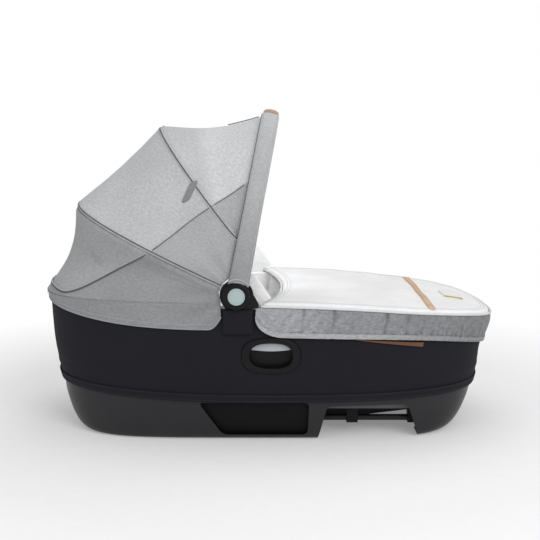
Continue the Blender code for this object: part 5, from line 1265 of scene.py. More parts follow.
@dataclass
class Grip:
    """An oval bezel with a cup behind it, and the release lever inside."""

    side: Side
    length: float = 0.102
    height: float = 0.063
    opening: Pair = (0.072, 0.043)
    travel: float = 0.005
    room: float = 0.0016
    face: float = 0.2083
    seat: float = 0.2050
    back: float = 0.1880
    wall: float = 0.002
    power: float = 2.6
    crown_power: float = 3.2
    lever_clearance: float = 0.0004
    lever_drop: float = 0.0155
    lever_bow: float = 0.003
    lever_half: float = 0.0044
    lever_y: float = 0.1949
    lever_dish: float = 0.0007

    def rings(self, profile: list[tuple[float, ...]]) -> Array:
        """Ovals of a length and height, raised by a length, each at its distance from the middle."""
        px, pz = outline(145, self.power)
        length, height, rise, out = np.array(profile).T[..., None]
        return xyz(GRIP_X + px * length / 2, self.side.value * out, GRIP_Z + rise + pz * height / 2)

    def build_bezel(self) -> None:
        """From the middle of the cup's floor up its wall, over the rounded ring, and back outside the cup."""
        wide, high = self.opening
        rise = self.travel / 2
        pocket = (wide + self.room, high + self.travel + self.room)
        cup = (pocket[0] + 2 * self.wall, pocket[1] + 2 * self.wall)
        floor = self.back + self.wall
        profile = [
            (0, 0, rise, floor), (pocket[0] - 0.0008, pocket[1] - 0.0008, rise, floor), (*pocket, rise, floor + 0.0004),
            (*pocket, rise, self.seat - 0.0006), (wide, high, 0, self.seat - 0.0004),
        ]
        foot = self.seat + 0.0002
        for turn in np.linspace(0, 1, 15):
            lift = (1 - abs(2 * turn - 1) ** self.crown_power) ** (1 / self.crown_power)
            across, up = wide + (self.length - wide) * turn, high + (self.height - high) * turn
            profile.append((across, up, 0, foot + (self.face - foot) * lift * (1 - 0.22 * turn)))
        profile += [
            (*cup, rise, self.seat + 0.0001), (*cup, rise, self.back + 0.002),
            (cup[0] - 0.004, cup[1] - 0.004, rise, self.back), (0, 0, rise, self.back),
        ]
        name, node = "grip_surround_" + self.side.word, "grip_bezel_" + self.side.word
        add_piece(name, HUB_PLASTIC, "hub_plastic", self.rings(profile), node=node, crease=40)

    def build_lever(self) -> None:
        """The top of the opening's oval down to a bowed edge, as sections along X with rounded corners."""
        half, tall = (size / 2 - self.lever_clearance for size in self.opening)
        low_edge = GRIP_Z + self.opening[1] / 2 - self.lever_drop
        reach = half * (1 - ((low_edge + self.lever_bow - GRIP_Z) / tall) ** self.power) ** (1 / self.power)
        share = np.linspace(-1, 1, 81)[:, None]
        x = reach * np.sin(share * math.pi / 2)
        top = GRIP_Z + tall * np.clip(1 - (np.abs(x) / half) ** self.power, 0, 1) ** (1 / self.power)
        bottom = low_edge + self.lever_bow * (x / reach) ** 2
        over, out = outline(49, 5)
        height = np.clip(top - bottom, 0, None) * np.clip(1 - np.abs(share) ** 12, 0, 1)
        depth = self.lever_half * np.sqrt(np.clip(1 - np.abs(share) ** 30, 0, 1))
        dish = self.lever_dish * np.clip(1 - over**2, 0, 1) * (out > 0)
        y = self.side.value * (self.lever_y + out * depth - dish)
        points = xyz(GRIP_X + x, y, (top + bottom) / 2 + over * height / 2)
        name, node = "lever_blade_" + self.side.word, "grip_lever_" + self.side.word
        add_piece(name, LEVER_PLASTIC, "lever_plastic", points, body=node, node=node, crease=60)

    def build(self) -> None:
        """Makes the bezel and the lever."""
        self.build_bezel()
        self.build_lever()
        dress_nodes(SPRING_STEEL, "lever_spring_" + self.side.word)


# Hubs


@dataclass
class Hub:
    """The black hub that the handle stands on, its button and the bracket behind it."""

    side: Side
    radius: float = 0.023
    near: float = 0.2096
    face: float = 0.2225
    round_over: float = 0.0028
    hole: float = 0.0029
    well_edge: float = 0.0009
    button: float = 0.0145
    button_face: float = 0.2231
    travel: float = 0.0025
    floor: float = 0.0035
    clearance: float = 0.0004
    spring_wire: float = 0.00035
    spring_turns: float = 2.25
    # The painted shade disc behind the hub: its distance from the middle and its radius.
    backing: Pair = (0.2066, 0.0285)

    def turned(self, profile: Array) -> Array:
        """A profile of radius and distance from the middle, turned about the hub's axis."""
        turn = np.linspace(0, FULL_TURN, 97)
        radius, out = np.asarray(profile).T[..., None]
        return xyz(HUB_X + radius * np.cos(turn), self.side.value * out, HUB_Z + radius * np.sin(turn))

    def build_hub(self) -> None:
        """Ring with a rounded crown, a well for the button with a pin hole in its floor."""
        r, near, face, hole, soft, edge = self.radius, self.near, self.face, self.hole, self.round_over, self.well_edge
        well, floor = self.button + self.clearance, near + self.floor
        arc = np.linspace(0, math.pi / 2, 8)
        outer = np.stack([r - soft * (1 - np.cos(arc)), face - soft * (1 - np.sin(arc))], axis=1)
        inner = np.stack([well + edge * (1 - np.sin(arc)), face - 0.0004 - edge * (1 - np.cos(arc))], axis=1)
        profile = np.concatenate([
            [[hole, near], [r - 0.0008, near], [r, near + 0.0008], [r, near + 0.004], [r - 0.0006, near + 0.0045]],
            [[r - 0.0006, near + 0.0055], [r, near + 0.0060]], outer, inner,
            [[well, floor], [hole, floor], [hole, near]],
        ])
        name, node = "hub_ring_" + self.side.word, "hub_" + self.side.word
        add_piece(name, HUB_PLASTIC, "hub_plastic", self.turned(profile), body="handle", node=node, crease=35)

    def build_button(self) -> None:
        """Cap with a raised light rim and a dished face, hollow behind."""
        r, face = self.button, self.button_face
        skirt = self.near + self.floor + self.travel + self.clearance
        profile = [
            [0, face - 0.0005], [r * 0.55, face - 0.00035], [r * 0.74, face - 0.0001], [r * 0.78, face - 0.0007],
            [r * 0.82, face - 0.0007], [r * 0.86, face - 0.0001], [r * 0.92, face], [r - 0.0004, face - 0.0004],
            [r, face - 0.0012], [r, skirt], [r - 0.0014, skirt], [r - 0.0014, face - 0.0022], [0, face - 0.0022],
        ]
        name, node = "button_cap_" + self.side.word, "hub_button_" + self.side.word
        add_piece(name, BUTTON_PLASTIC, "button_plastic", self.turned(profile), body=node, node=node, crease=40)

    def build_spring(self) -> None:
        """The spring under the button: a wire helix about the hub's axis, which a press flattens."""
        node = "hub_spring_" + self.side.word
        low, high = (np.array(corner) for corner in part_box(node))
        near, far = sorted(abs(y) for y in (low[1], high[1]))
        wire = self.spring_wire
        share = np.linspace(0, 1, 121)[:, None]
        turn = FULL_TURN * self.spring_turns * share
        radial = np.concatenate([np.cos(turn), 0 * turn, np.sin(turn)], axis=1)
        y = self.side.value * (near + wire + share * (far - near - 2 * wire))
        middle = HUB + ((high[0] - low[0]) / 2 - wire) * radial + y * SIDEWAYS
        section = np.linspace(0, FULL_TURN, 11)[:, None]
        rows = middle[:, None] + wire * (np.cos(section) * radial[:, None] + np.sin(section) * SIDEWAYS)
        name, body = "button_spring_" + self.side.word, "handle"
        spring = add_piece(name, SPRING_STEEL, "spring_steel", capped(rows, middle), body=body, node=node)
        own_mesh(spring)

    def build_backing(self) -> None:
        """A dark disc of the cover's fabric behind the hub, thin at its rim: partly it closes the gap round the ring,
        partly it is painted shade round the ring.
        """
        y, r = self.backing
        bore, flat, thick = 0.004, r - 0.002, 0.0014
        profile = [[bore, y], [flat, y], [r, y + 0.0006], [flat, y + thick], [bore, y + thick], [bore, y]]
        add_piece("hub_backing_" + self.side.word, NAVY_CLOTH, "navy_fabric", self.turned(profile))

    def build(self) -> None:
        """Makes the hub and its button, and finishes the nodes about it."""
        self.build_hub()
        self.build_backing()
        self.build_button()
        self.build_spring()
        word = self.side.word
        dress_nodes(BRACKET_PLASTIC, "hinge_bracket_" + word)
        dress_nodes(SPRING_STEEL, f"bracket_screw_{word}_1", f"bracket_screw_{word}_2", "pivot_pin_" + word)


# Handle


@dataclass
class Handle:
    """The carry handle: aluminium bow, fabric sleeves on its legs and a leather grip between them."""

    foot_height: float = 0.0250
    hub_room: float = 0.0246
    hub_reach: float = 0.021
    width: float = 0.031
    foot_width: float = 0.035
    thickness: float = 0.0116
    power: float = 2.3
    pucker: float = 0.00035
    cord: float = 0.0011
    grip_half: float = 0.056
    grip_width: float = 0.0285
    grip_thickness: float = 0.0155
    leg_painted_shades: tuple[float, ...] = (0.58, 0.82, 0.97)
    slot: str = "grey_melange"

    @property
    def grip_angle(self) -> float:
        """The arch's angle at the grip's end."""
        return math.acos((self.grip_half / HANDLE_ARCH.half_width) ** (HANDLE_ARCH.power / 2))

    def widths(self, share: Array) -> Array:
        """The sleeve's width: wider at its foot, easing to the rest over a third of the leg."""
        return self.width + (self.foot_width - self.width) * np.clip(1 - share / 0.33, 0, 1)

    def seat_on_hub(self, points: Array, side: Side) -> Array:
        """Draws the foot of a leg down round the hub, fading up the leg, and puts the leg on its side."""
        away = points - HUB
        across, height = away @ HANDLE_ARCH.across, away @ HANDLE_ARCH.up
        room = np.clip(self.hub_room**2 - np.clip(np.abs(across), 0, self.hub_reach) ** 2, 0, None)
        fade = 1 - ease(height, self.foot_height, self.foot_height + 0.030)
        seated = points - ((self.hub_room - np.sqrt(room)) * fade)[..., None] * HANDLE_ARCH.up
        return seated * (1, side.value, 1)

    def build_sleeve(self, side: Side) -> None:
        """A soft tube over the bar, puckered a little along its sewn edge, and painted darker towards its foot."""
        angles = HANDLE_ARCH.spread(HANDLE_ARCH.angle_at(self.foot_height), 160, self.grip_angle - 0.001, 0.0)
        share = np.linspace(0, 1, len(angles))
        width = self.widths(share) - 0.0012 * bump(share, 1, 0.02) - 0.001 * bump(share, 0, 0.012)
        thick = self.thickness * (1 - 0.10 * bump(share, 0, 0.01) - 0.12 * bump(share, 1, 0.02))
        points = sweep(HANDLE_ARCH, angles, width, thick, self.power, 64)
        body = points[1:-1]
        edge = bump(np.cos(np.linspace(0, FULL_TURN, 65)), -1, 0.35)
        pucker = self.pucker * np.sin(np.arange(len(angles)) * 1.9)[:, None] * edge
        body += pucker[..., None] * surface_normals(body)
        # Painted shade: the sleeve darkens towards its foot by the hub.
        shade = np.pad(np.interp(share, [0, 0.45, 1], self.leg_painted_shades), 1, mode="edge")[:, None]
        sleeve = Grid(self.seat_on_hub(points, side), None, {"shade": shade})
        node = "handle_sleeve_" + side.word
        add_piece("handle_wrap_" + side.word, GREY_MELANGE, self.slot, sleeve, body="handle", node=node)
        self.build_trims(side, angles, self.widths(share))

    def build_trims(self, side: Side, angles: Array, widths: Array) -> None:
        """The dark seam on the sleeve's rear edge, the pale piping round its foot and two rows of stitches."""
        rear = self.seat_on_hub(HANDLE_ARCH.points(angles, 0.0, -(widths / 2 + 0.0001)), side)
        add_piece("handle_seam_" + side.word, SEAM_CLOTH, self.slot, tube(rear, self.cord), body="handle")
        wide, thick = outline(49, self.power)
        wide, thick = wide[:-1] * (self.foot_width / 2 + 0.0002), thick[:-1] * (self.thickness / 2 + 0.0003)
        foot = self.seat_on_hub(HANDLE_ARCH.points(np.full_like(wide, angles[2]), thick, wide), side)
        piping = tube(foot, self.cord, loop=True)
        add_piece("handle_foot_piping_" + side.word, PIPING_CLOTH, self.slot, piping, body="handle")
        for word, place in (("front", 0.40), ("rear", -0.36)):
            line = HANDLE_ARCH.points(angles[6:-6], self.thickness / 2 * 0.97, place * widths[6:-6])
            sewn = stitches(line * (1, side.value, 1))
            add_piece(f"handle_stitches_{word}_{side.word}", THREAD_PALE, self.slot, *sewn, body="handle")

    def build_grip(self) -> None:
        """Leather wrapped over padding: thicker in the middle, with a laced seam below."""
        angles = HANDLE_ARCH.spread(self.grip_angle + 0.001, 150, turning=0.0)
        ends = 1 - 0.10 * bump(np.abs(np.linspace(-1, 1, len(angles))), 1, 0.04)
        points = sweep(HANDLE_ARCH, angles, self.grip_width * ends, self.grip_thickness * ends, self.power, 64)
        add_piece("handle_leather", GRIP_HIDE, "leather", points, body="handle", node="handle_grip")
        line = HANDLE_ARCH.points(angles[3:-3], -self.grip_thickness / 2 * 0.985, 0.0)
        sewn = stitches(line, 0.006, 0.6, 0.0006)
        add_piece("handle_grip_stitches", THREAD_DARK, "leather", *sewn, body="handle")

    def build(self) -> None:
        """Makes sleeves, seams and grip, and finishes the bow."""
        for side in Side:
            self.build_sleeve(side)
        self.build_grip()
        dress_nodes(ALUMINIUM, "handle_bow")


# Canopy


@dataclass
class Canopy:
    """The folding canopy: one main sheet over the batten, a rear panel, a skirt and its trims."""

    wall: float = 0.0014
    front_sag: float = 0.012
    mid_sag: float = 0.004
    rear_sag: float = 0.016
    leg_columns: int = 22
    batten_columns: int = 132
    batten_start: float = math.pi * 0.03
    rows: int = 56
    batten_foot: float = 0.0907
    start_height: float = 0.0300
    lap: float = 0.004
    rear_cord: float = 0.0015
    batten_half: float = 0.0012
    skirt_from: float = -0.0830
    skirt_hem: float = 0.203
    skirt_rise: float = 0.034
    skirt_corner: float = 0.022
    skirt_over_rim: float = 0.010
    skirt_flare: float = 0.0040
    skirt_slack: float = 0.0010
    stitch_height: float = 0.008
    pull: tuple[Pair, ...] = ((-0.1275, 0.4490), (-0.0155, -0.0345), (0.93, 0.37))
    pull_half_width: float = 0.0082
    loop_front: float = -0.0210
    loop_length: float = 0.0560
    loop_half_width: float = 0.0110
    diagonal: tuple[Pair, ...] = (
        (-0.3881, 0.2604), (-0.3602, 0.2544), (-0.3343, 0.2613), (-0.2975, 0.2789), (-0.2583, 0.3006),
        (-0.2281, 0.3167), (-0.2026, 0.3322), (-0.1647, 0.3596), (-0.1363, 0.3822), (-0.0993, 0.4083),
        (-0.0662, 0.4282), (-0.0328, 0.4523),
    )
    handle: Handle = field(default_factory=Handle)
    folding: tuple[str, str] = ("rear_bow", "handle")
    slot: str = "grey_melange"

    def rear_rail(self, side: float) -> Array:
        """The line on which fabric lies over the rear bow, a little to one side of its middle."""
        angles = REAR_ARCH.spread(REAR_ARCH.angle_at(self.start_height), self.batten_columns + 2 * self.leg_columns)
        return REAR_ARCH.points(angles, self.rear_cord + FIT, side)

    def batten_rail(self, side: float, over: float = 0.0) -> Array:
        """The line on which fabric lies over the batten."""
        angles = BATTEN_ARCH.spread(self.batten_start, self.batten_columns)
        return BATTEN_ARCH.points(angles, self.batten_half + FIT + over, side)

    def handle_rail(self, angles: Array, back: float = 0.0) -> Array:
        """The line on which fabric lies under the rear edge of the handle's sleeve."""
        under = -(self.handle.thickness / 2 + FIT + self.wall)
        return HANDLE_ARCH.points(angles, under, -(self.handle.width / 2 - self.lap) - back)

    def joined_rail(self, edge: float) -> Array:
        """Up one leg of the handle, over the batten and down the other leg."""
        ends = (HANDLE_ARCH.angle_at(height) for height in (self.start_height, self.batten_foot))
        leg = self.handle_rail(np.linspace(*ends, self.leg_columns), edge - FIT)
        return np.concatenate([leg, self.batten_rail(-edge), leg[::-1] * (1, -1, 1)])

    def share_turned(self, points: Array) -> Array:
        """How far a place is from the rear bow's plane to the handle's, by its angle about the hubs."""
        lean = np.degrees(np.arctan2(HUB_X - points[..., 0], points[..., 2] - HUB_Z))
        return np.clip((REAR_ARCH.tilt - lean) / (REAR_ARCH.tilt - HANDLE_ARCH.tilt), 0, 1)

    def above_diagonal(self, points: Array) -> Array:
        """Height over the course of the sloping zip, which falls towards the head end."""
        return points[..., 2] - smooth_curve(points[..., 0], *zip(*self.diagonal))

    def shading(self, points: Array) -> Array:
        """Painted shade in the folds by the hub, below the rear bow and along the hem, and painted light on the front
        panel above the zip.
        """
        x, z = points[..., 0], points[..., 2]
        # Painted light on the front panel above the zip.
        front = ease(self.share_turned(points), 0.62, 0.72) * ease(self.above_diagonal(points), -0.001, 0.001)
        # Painted shade: a tuck below the rear bow, rays of folds round the hub and a band low along the hem.
        tuck_painted_shade = bump(x + 0.8 * (z - 0.316), -0.300, 0.010) * bump(z, 0.318, 0.014)
        near, bearing = np.hypot(x - HUB_X, z - HUB_Z), np.arctan2(z - HUB_Z, x - HUB_X)
        hub_folds_painted_shade = bump(near, 0.06, 0.045) * (0.5 + 0.5 * np.sin(bearing * 13))
        return 1.0 + 0.19 * front - 0.12 * tuck_painted_shade - 0.10 * hub_folds_painted_shade - 0.05 * bump(z, 0.25, 0.03)

    def marked(self, rows: Array, turned: Array | float, shade: Array | float = 1.0) -> Grid:
        """A sheet's grid with its share turned, its height over the zip and its painted light and shade."""
        marks = {"turned": turned, "line": self.above_diagonal(rows), "shade": self.shading(rows) * shade}
        return Grid(rows, None, marks)

    def between(self, first: Array, second: Array, count: int, sag: float, seed: int) -> list[Array]:
        """Rows from one rail to another, drawn in towards the hub axis.

        Each point is on the straight line between its two rails, moved towards the axis by the
        sag times the sine of its share of the way times the root of the sine of its column's
        share, and then by small folds along the normal.

        Args:
            first: the first rail.
            second: the second rail.
            count: rows between them.
            sag: how far the middle is drawn in.
            seed: picks the folds.

        Returns:
            The rows without the rails.
        """
        share = np.linspace(0, 1, count + 2)[1:-1][:, None]
        column = np.linspace(0, 1, len(first))[None]
        rows = first[None] + share[..., None] * (second - first)[None]
        drawn = sag * np.sin(math.pi * share) * np.sin(math.pi * np.clip(column, 0.0001, 0.9999)) ** 0.5
        near_foot = bump(column, 0, 0.10) + bump(column, 1, 0.10)
        slack = np.sin(math.pi * share) * (0.0006 + 0.0016 * near_foot)
        drawn = drawn + slack * folds(column * 1.1, share * 0.35, seed, 7, 0.22, 0.16)
        return list(rows - unit(rows - HUB) * drawn[..., None])

    @cached_property
    def sheet(self) -> tuple[Grid, Grid]:
        """The main sheet behind the batten, and ahead of it."""
        legs = self.leg_columns
        rear = [self.rear_rail(side) for side in (FIT, 0.004, 0.0076)]
        joined = [self.joined_rail(side) for side in (0.0046, 0.002)]
        back = np.array(rear + self.between(rear[-1], joined[0], self.rows, self.mid_sag, 21) + joined)
        turned = self.share_turned(joined[0])
        turned[:legs] = turned[-legs:] = 1
        step = np.concatenate([np.zeros(3), np.linspace(0, 1, self.rows + 2)[1:-1], np.ones(2)])
        half = self.rows // 2
        rails = [joined[1][legs:-legs]] + [self.batten_rail(side) for side in (0.0006, 0.0046)]
        last = self.handle_rail(HANDLE_ARCH.spread(HANDLE_ARCH.angle_at(self.batten_foot), self.batten_columns))
        front = np.array(rails + self.between(rails[-1], last, half, self.front_sag, 34) + [last])
        ahead = np.concatenate([np.zeros(3), np.linspace(0, 1, half + 2)[1:]])[:, None]
        crown = turned[legs:-legs]
        return self.marked(back, step[:, None] * turned), self.marked(front, crown + ahead * (1 - crown))

    def crossing(self, sheet: Grid, side: Side) -> tuple[Array, Array]:
        """Where the columns on one side of a sheet cross the sloping zip.

        Args:
            sheet: the sheet's grid, with its marks turned and line.
            side: the side to look at.

        Returns:
            The crossing points by column, and their shares turned.
        """
        keep = np.sign(sheet.points[5, :, 1]) == side.value
        points, turned, height = sheet.points[:, keep], sheet.marks["turned"][:, keep], sheet.marks["line"][:, keep]
        change = (height[1:] >= 0) != (height[:-1] >= 0)
        column = np.flatnonzero(change.any(axis=0))
        row = change.argmax(axis=0)[column]
        low, high = height[row, column], height[row + 1, column]
        share = low / (low - high)
        place = points[row, column] + share[:, None] * (points[row + 1, column] - points[row, column])
        return place, turned[row, column] * (1 - share) + turned[row + 1, column] * share

    def trim(self, name: str, finish: Finish, line: Array, way: Array, radius: float | Array, flat: float,
             body: tuple[str, str] = ("rear_bow", "handle")) -> None:
        """A cord or tape along a line on the fabric, folding as the fabric does."""
        cord = Grid(tube(line, radius, flat=flat), None, {"turned": np.pad(way, 1, mode="edge")[:, None]})
        add_piece(name, finish, self.slot, cord, body=body)

    def build_zips(self, name: str, grids: tuple[Grid, ...], body: tuple[str, str]) -> None:
        """A covered zip on each side: a dark tape, wider behind where it also stands for the shadow there (painted
        shadow), with a pale welt above it, along an evened line.

        Args:
            name: the start of the pieces' names.
            grids: the sheet's grids that the zip crosses.
            body: the two bodies that it folds between.
        """
        for side in (Side.RIGHT, Side.LEFT):
            crossings = [self.crossing(grid, side) for grid in grids]
            line, share = (np.concatenate(parts) for parts in zip(*crossings))
            order = np.argsort(line[:, 0])
            line, share = line[order], share[order]
            walked = length_along(line, 0)
            share = np.interp(np.linspace(0, walked[-1], 160), walked, share)
            padded = np.pad(resample(line, 160), ((4, 4), (0, 0)), mode="edge")
            line = np.stack([np.convolve(padded[:, axis], np.ones(9) / 9, "valid") for axis in range(3)], axis=1)
            away = unit(line - HUB)
            # Partly painted shadow: the dark tape widens towards the head end to stand for the shadow along the zip
            # there.
            wide = 0.0010 + 0.0014 * (1 - ease(line[:, 0], -0.24, -0.17))
            self.trim(f"{name}_{side.word}", SEAM_CLOTH, line + 0.0016 * away, share, wide, 0.6, body)
            line = line + 0.0018 * away + xyz(0, 0, wide + 0.0006)
            self.trim(f"{name}_{side.word}_welt", PIPING_CLOTH, line, share, 0.5 * wide, 0.8, body)

    def build_sheet(self) -> None:
        """The main sheet from the rear bow over the batten to the handle."""
        sheet = add_piece(
            "canopy_main_sheet", CANOPY_CLOTH, self.slot, *self.sheet, body=self.folding, wall=self.wall, away_from=HUB,
        )
        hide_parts("canopy_mid_panel", "canopy_front_panel")
        rows = [grid.points for grid in self.sheet]
        declare_sheet(rows)

    def build_mid_seam(self) -> None:
        """The seam over the batten down to the handle's legs, with its piping and two rows of stitches."""
        way = np.pad(self.share_turned(self.batten_rail(0.0)), 1, constant_values=1.0)
        foot = self.handle_rail(np.array([HANDLE_ARCH.angle_at(self.batten_foot)]), -FIT)
        for name, over, side, radius, finish, flat in (
            ("canopy_mid_seam", 0.00156, 0.0, 0.0013, SEAM_CLOTH, 0.8),
            ("canopy_mid_piping", 0.0018, -0.0022, 0.0010, PIPING_CLOTH, 1.0),
        ):
            line = np.concatenate([foot, self.batten_rail(side, over), foot * (1, -1, 1)])
            wide = radius + 0.0022 * (np.abs(np.linspace(-1, 1, len(line))) ** 90)
            self.trim(name, finish, line, way, wide, flat)
        for word, side in (("rear", -0.0062), ("front", 0.0062)):
            sewn = stitches(self.batten_rail(side, self.wall + 0.0001))
            marked = [Grid(rows, None, {"turned": self.share_turned(rows)}) for rows in sewn]
            add_piece("canopy_mid_stitches_" + word, THREAD_PALE, self.slot, *marked, body=self.folding)

    def build_rear(self) -> None:
        """The rear panel from the rear bow down to the skirt, with its seam and its zip."""
        rails = [self.rear_rail(side) for side in (-FIT, -0.004, -0.0076)]
        rim = self.skirt_rows(len(rails[0]))[-1] + (0, 0, 0.0002)
        rows = np.array(rails + self.between(rails[-1], rim, self.rows, self.rear_sag, 55) + [rim])
        step = np.concatenate([np.zeros(3), np.linspace(0, 1, self.rows + 2)[1:]])
        # Painted shade: the rear panel is darkened, most above a height of 0.33 m and less below 0.27 m.
        shade = 0.66 + 0.11 * ease(-rows[..., 2], -0.33, -0.27)
        grid = self.marked(rows, np.broadcast_to((1 - step)[:, None], rows.shape[:2]), shade)
        bodies = ("carrycot", "rear_bow")
        options = {"body": bodies, "node": "canopy_rear_panel", "wall": self.wall, "away_from": (-0.15, 0, 0.24)}
        panel = add_piece("canopy_rear_sheet", CANOPY_CLOTH, self.slot, grid, **options)
        declare_sheet([rows])
        angles = REAR_ARCH.spread(REAR_ARCH.angle_at(self.start_height), 220, turning=0.0)
        for name, over, side, radius, finish, flat in (
            ("canopy_rear_seam", 0.0017, 0.0045, 0.0013, SEAM_CLOTH, 0.8),
            ("canopy_rear_piping", 0.0019, 0.0023, 0.0010, PIPING_CLOTH, 1.0),
        ):
            line = REAR_ARCH.points(angles, self.rear_cord + FIT + over, side)
            add_piece(name, finish, self.slot, tube(line, radius, flat=flat), body="rear_bow")
        self.build_zips("canopy_rear_zip", (grid,), bodies)

    def skirt_rows(self, columns: int) -> Array:
        """The skirt outside the cover: from a hem that rises at the head and rounds up at its ends."""
        start = PLAN.side_angle(self.skirt_from)
        share = np.linspace(0, 1, 28)[:, None]
        x, y = PLAN.edge.at(PLAN.even_angles(columns, start, FULL_TURN - start), -(GAP + FIT))
        way = np.clip((self.skirt_from - x) / (self.skirt_from - PLAN.head), 0, 1)
        low = self.skirt_hem + self.skirt_rise * way**2.6
        low = low + self.skirt_corner * np.clip(1 - (self.skirt_from - x) / self.skirt_corner, 0, 1) ** 2
        z = low + share * (PLAN.rim_height(x) + self.skirt_over_rim - low)
        wave = folds(np.broadcast_to(np.linspace(0, 1.2, columns), z.shape), z, 77, 6, 0.3, 0.05)
        x = x - self.skirt_flare * share**2 * way**2
        y = y * (1 + FIT / PLAN.half_width * share**2)
        return PLAN.outwards(xyz(x, y, z), self.skirt_slack * np.sin(math.pi * share) * (wave + 1) * 0.5)

    def build_skirt(self) -> None:
        """The skirt, its doubled hem and the stitch line over it."""
        rows = self.skirt_rows(320)
        # Painted shade: the skirt is darkened to 0.70 of the sheet's painted light and shade and counted below the zip,
        # which darkens it further; the hem roll is darkened the same way.
        marks = {"line": self.above_diagonal(rows) - 0.03, "shade": self.shading(rows) * 0.70}
        options = {"node": "canopy_skirt", "wall": self.wall, "away_from": (-0.2, 0, 0.22)}
        skirt = add_piece("canopy_hem_skirt", CANOPY_CLOTH, self.slot, Grid(rows, None, marks), **options)
        declare_sheet([rows])
        roll = Grid(tube(PLAN.outwards(rows[0], 0.0012), 0.0017), None, {"line": -0.03, "shade": 0.78})
        add_piece("canopy_hem_roll", CANOPY_CLOTH, self.slot, roll)
        share = np.minimum(self.stitch_height / np.maximum(rows[-1, :, 2] - rows[0, :, 2], 0.01), 0.6)[:, None]
        line = PLAN.outwards(rows[0] + (rows[-1] - rows[0]) * share, self.wall + 0.0010)
        add_piece("canopy_hem_stitches", THREAD_PALE, self.slot, *stitches(line[3:-3]))

    def build_batten(self) -> None:
        """The flexible batten under the middle seam; it bends as the fabric folds."""
        points = sweep(BATTEN_ARCH, BATTEN_ARCH.spread(self.batten_start, 120), 0.008, 2 * self.batten_half, 4.0, 24)
        rod = Grid(points, None, {"turned": self.share_turned(points)})
        add_piece("batten_rod", BATTEN_PLASTIC, "batten_plastic", rod, body=self.folding, node="mid_batten")

    def lie_on(self, places: Array, side: Side) -> tuple[Array, Array]:
        """Puts places in X and Z on the main sheet.

        The distance to the side and the share turned are the means of the eight nearest
        points of the sheet, each weighted by one over its squared distance.

        Args:
            places: X and Z of the places.
            side: the side of the sheet.

        Returns:
            The points in space and their shares turned.
        """
        cloud = np.concatenate([grid.points.reshape(-1, 3) for grid in self.sheet])
        shares = np.concatenate([grid.marks["turned"].ravel() for grid in self.sheet])
        keep = np.sign(cloud[:, 1]) == side.value
        cloud, shares = cloud[keep], shares[keep]
        gap = ((places[..., None, :] - cloud[:, ::2]) ** 2).sum(axis=-1)
        near = np.argsort(gap, axis=-1)[..., :8]
        weight = 1 / (np.take_along_axis(gap, near, axis=-1) + 1e-7)
        weight /= weight.sum(axis=-1, keepdims=True)
        y = (cloud[near, 1] * weight).sum(axis=-1)
        return xyz(places[..., 0], y, places[..., 1]), (shares[near] * weight).sum(axis=-1)

    def build_tab(self) -> None:
        """A fabric pull sewn on the middle seam, on both sides: a flat tongue that hangs down and to the rear."""
        along, across = np.meshgrid(np.linspace(0, 1, 24), np.linspace(-1, 1, 13), indexing="ij")
        start, down, sideways = (np.array(part) for part in self.pull)
        width = self.pull_half_width * (1 - 0.14 * along) * np.sqrt(np.clip(1 - (2 * along - 1) ** 10, 0, 1))
        flat = start + along[..., None] * down + (across * width)[..., None] * sideways
        high = 0.0030 + 0.0012 * np.sqrt(np.clip(1 - np.abs(across) ** 4, 0, 1))
        for side in Side:
            face, turned = self.lie_on(flat, side)
            away = unit(face - HUB)
            over, under = face + high[..., None] * away, face + 0.0022 * away
            points = np.concatenate([over, under[:, ::-1], over[:, :1]], axis=1)
            shares = np.concatenate([turned, turned[:, ::-1], turned[:, :1]], axis=1)
            # Painted shade: the tab is darkened to 0.62 and counted below the zip, which darkens it further.
            tab = Grid(points, None, {"turned": shares, "line": -0.02, "shade": 0.62})
            add_piece("canopy_pull_tab_" + side.word, CANOPY_CLOTH, self.slot, tab, body=self.folding)

    def build_loop(self) -> None:
        """A loop of dark cord that lies on the top behind the handle, leaf-shaped in plan."""
        front = self.sheet[1]
        middle = front.points.shape[1] // 2
        ridge, shares = front.points[::-1, middle], front.marks["turned"][::-1, middle]
        order = np.argsort(ridge[:, 0])
        way = np.linspace(-1, 1, 81)
        x = self.loop_front - self.loop_length * (1 - np.abs(way) ** 1.4)
        y = self.loop_half_width * np.sin(math.pi * np.abs(way)) * np.sign(way)
        z = np.interp(x, ridge[order, 0], ridge[order, 2]) + 2 * self.wall
        share = np.interp(x, ridge[order, 0], shares[order])
        self.trim("canopy_top_loop", SEAM_CLOTH, xyz(x, y, z), share, 0.0011, 0.8)

    def build(self) -> None:
        """Makes every piece of the canopy."""
        self.build_loop()
        self.build_sheet()
        self.build_mid_seam()
        self.build_zips("canopy_zip", self.sheet, self.folding)
        self.build_rear()
        self.build_skirt()
        self.build_batten()
        self.build_tab()
        dress_nodes(ALUMINIUM, "rear_bow")


# Foot apron


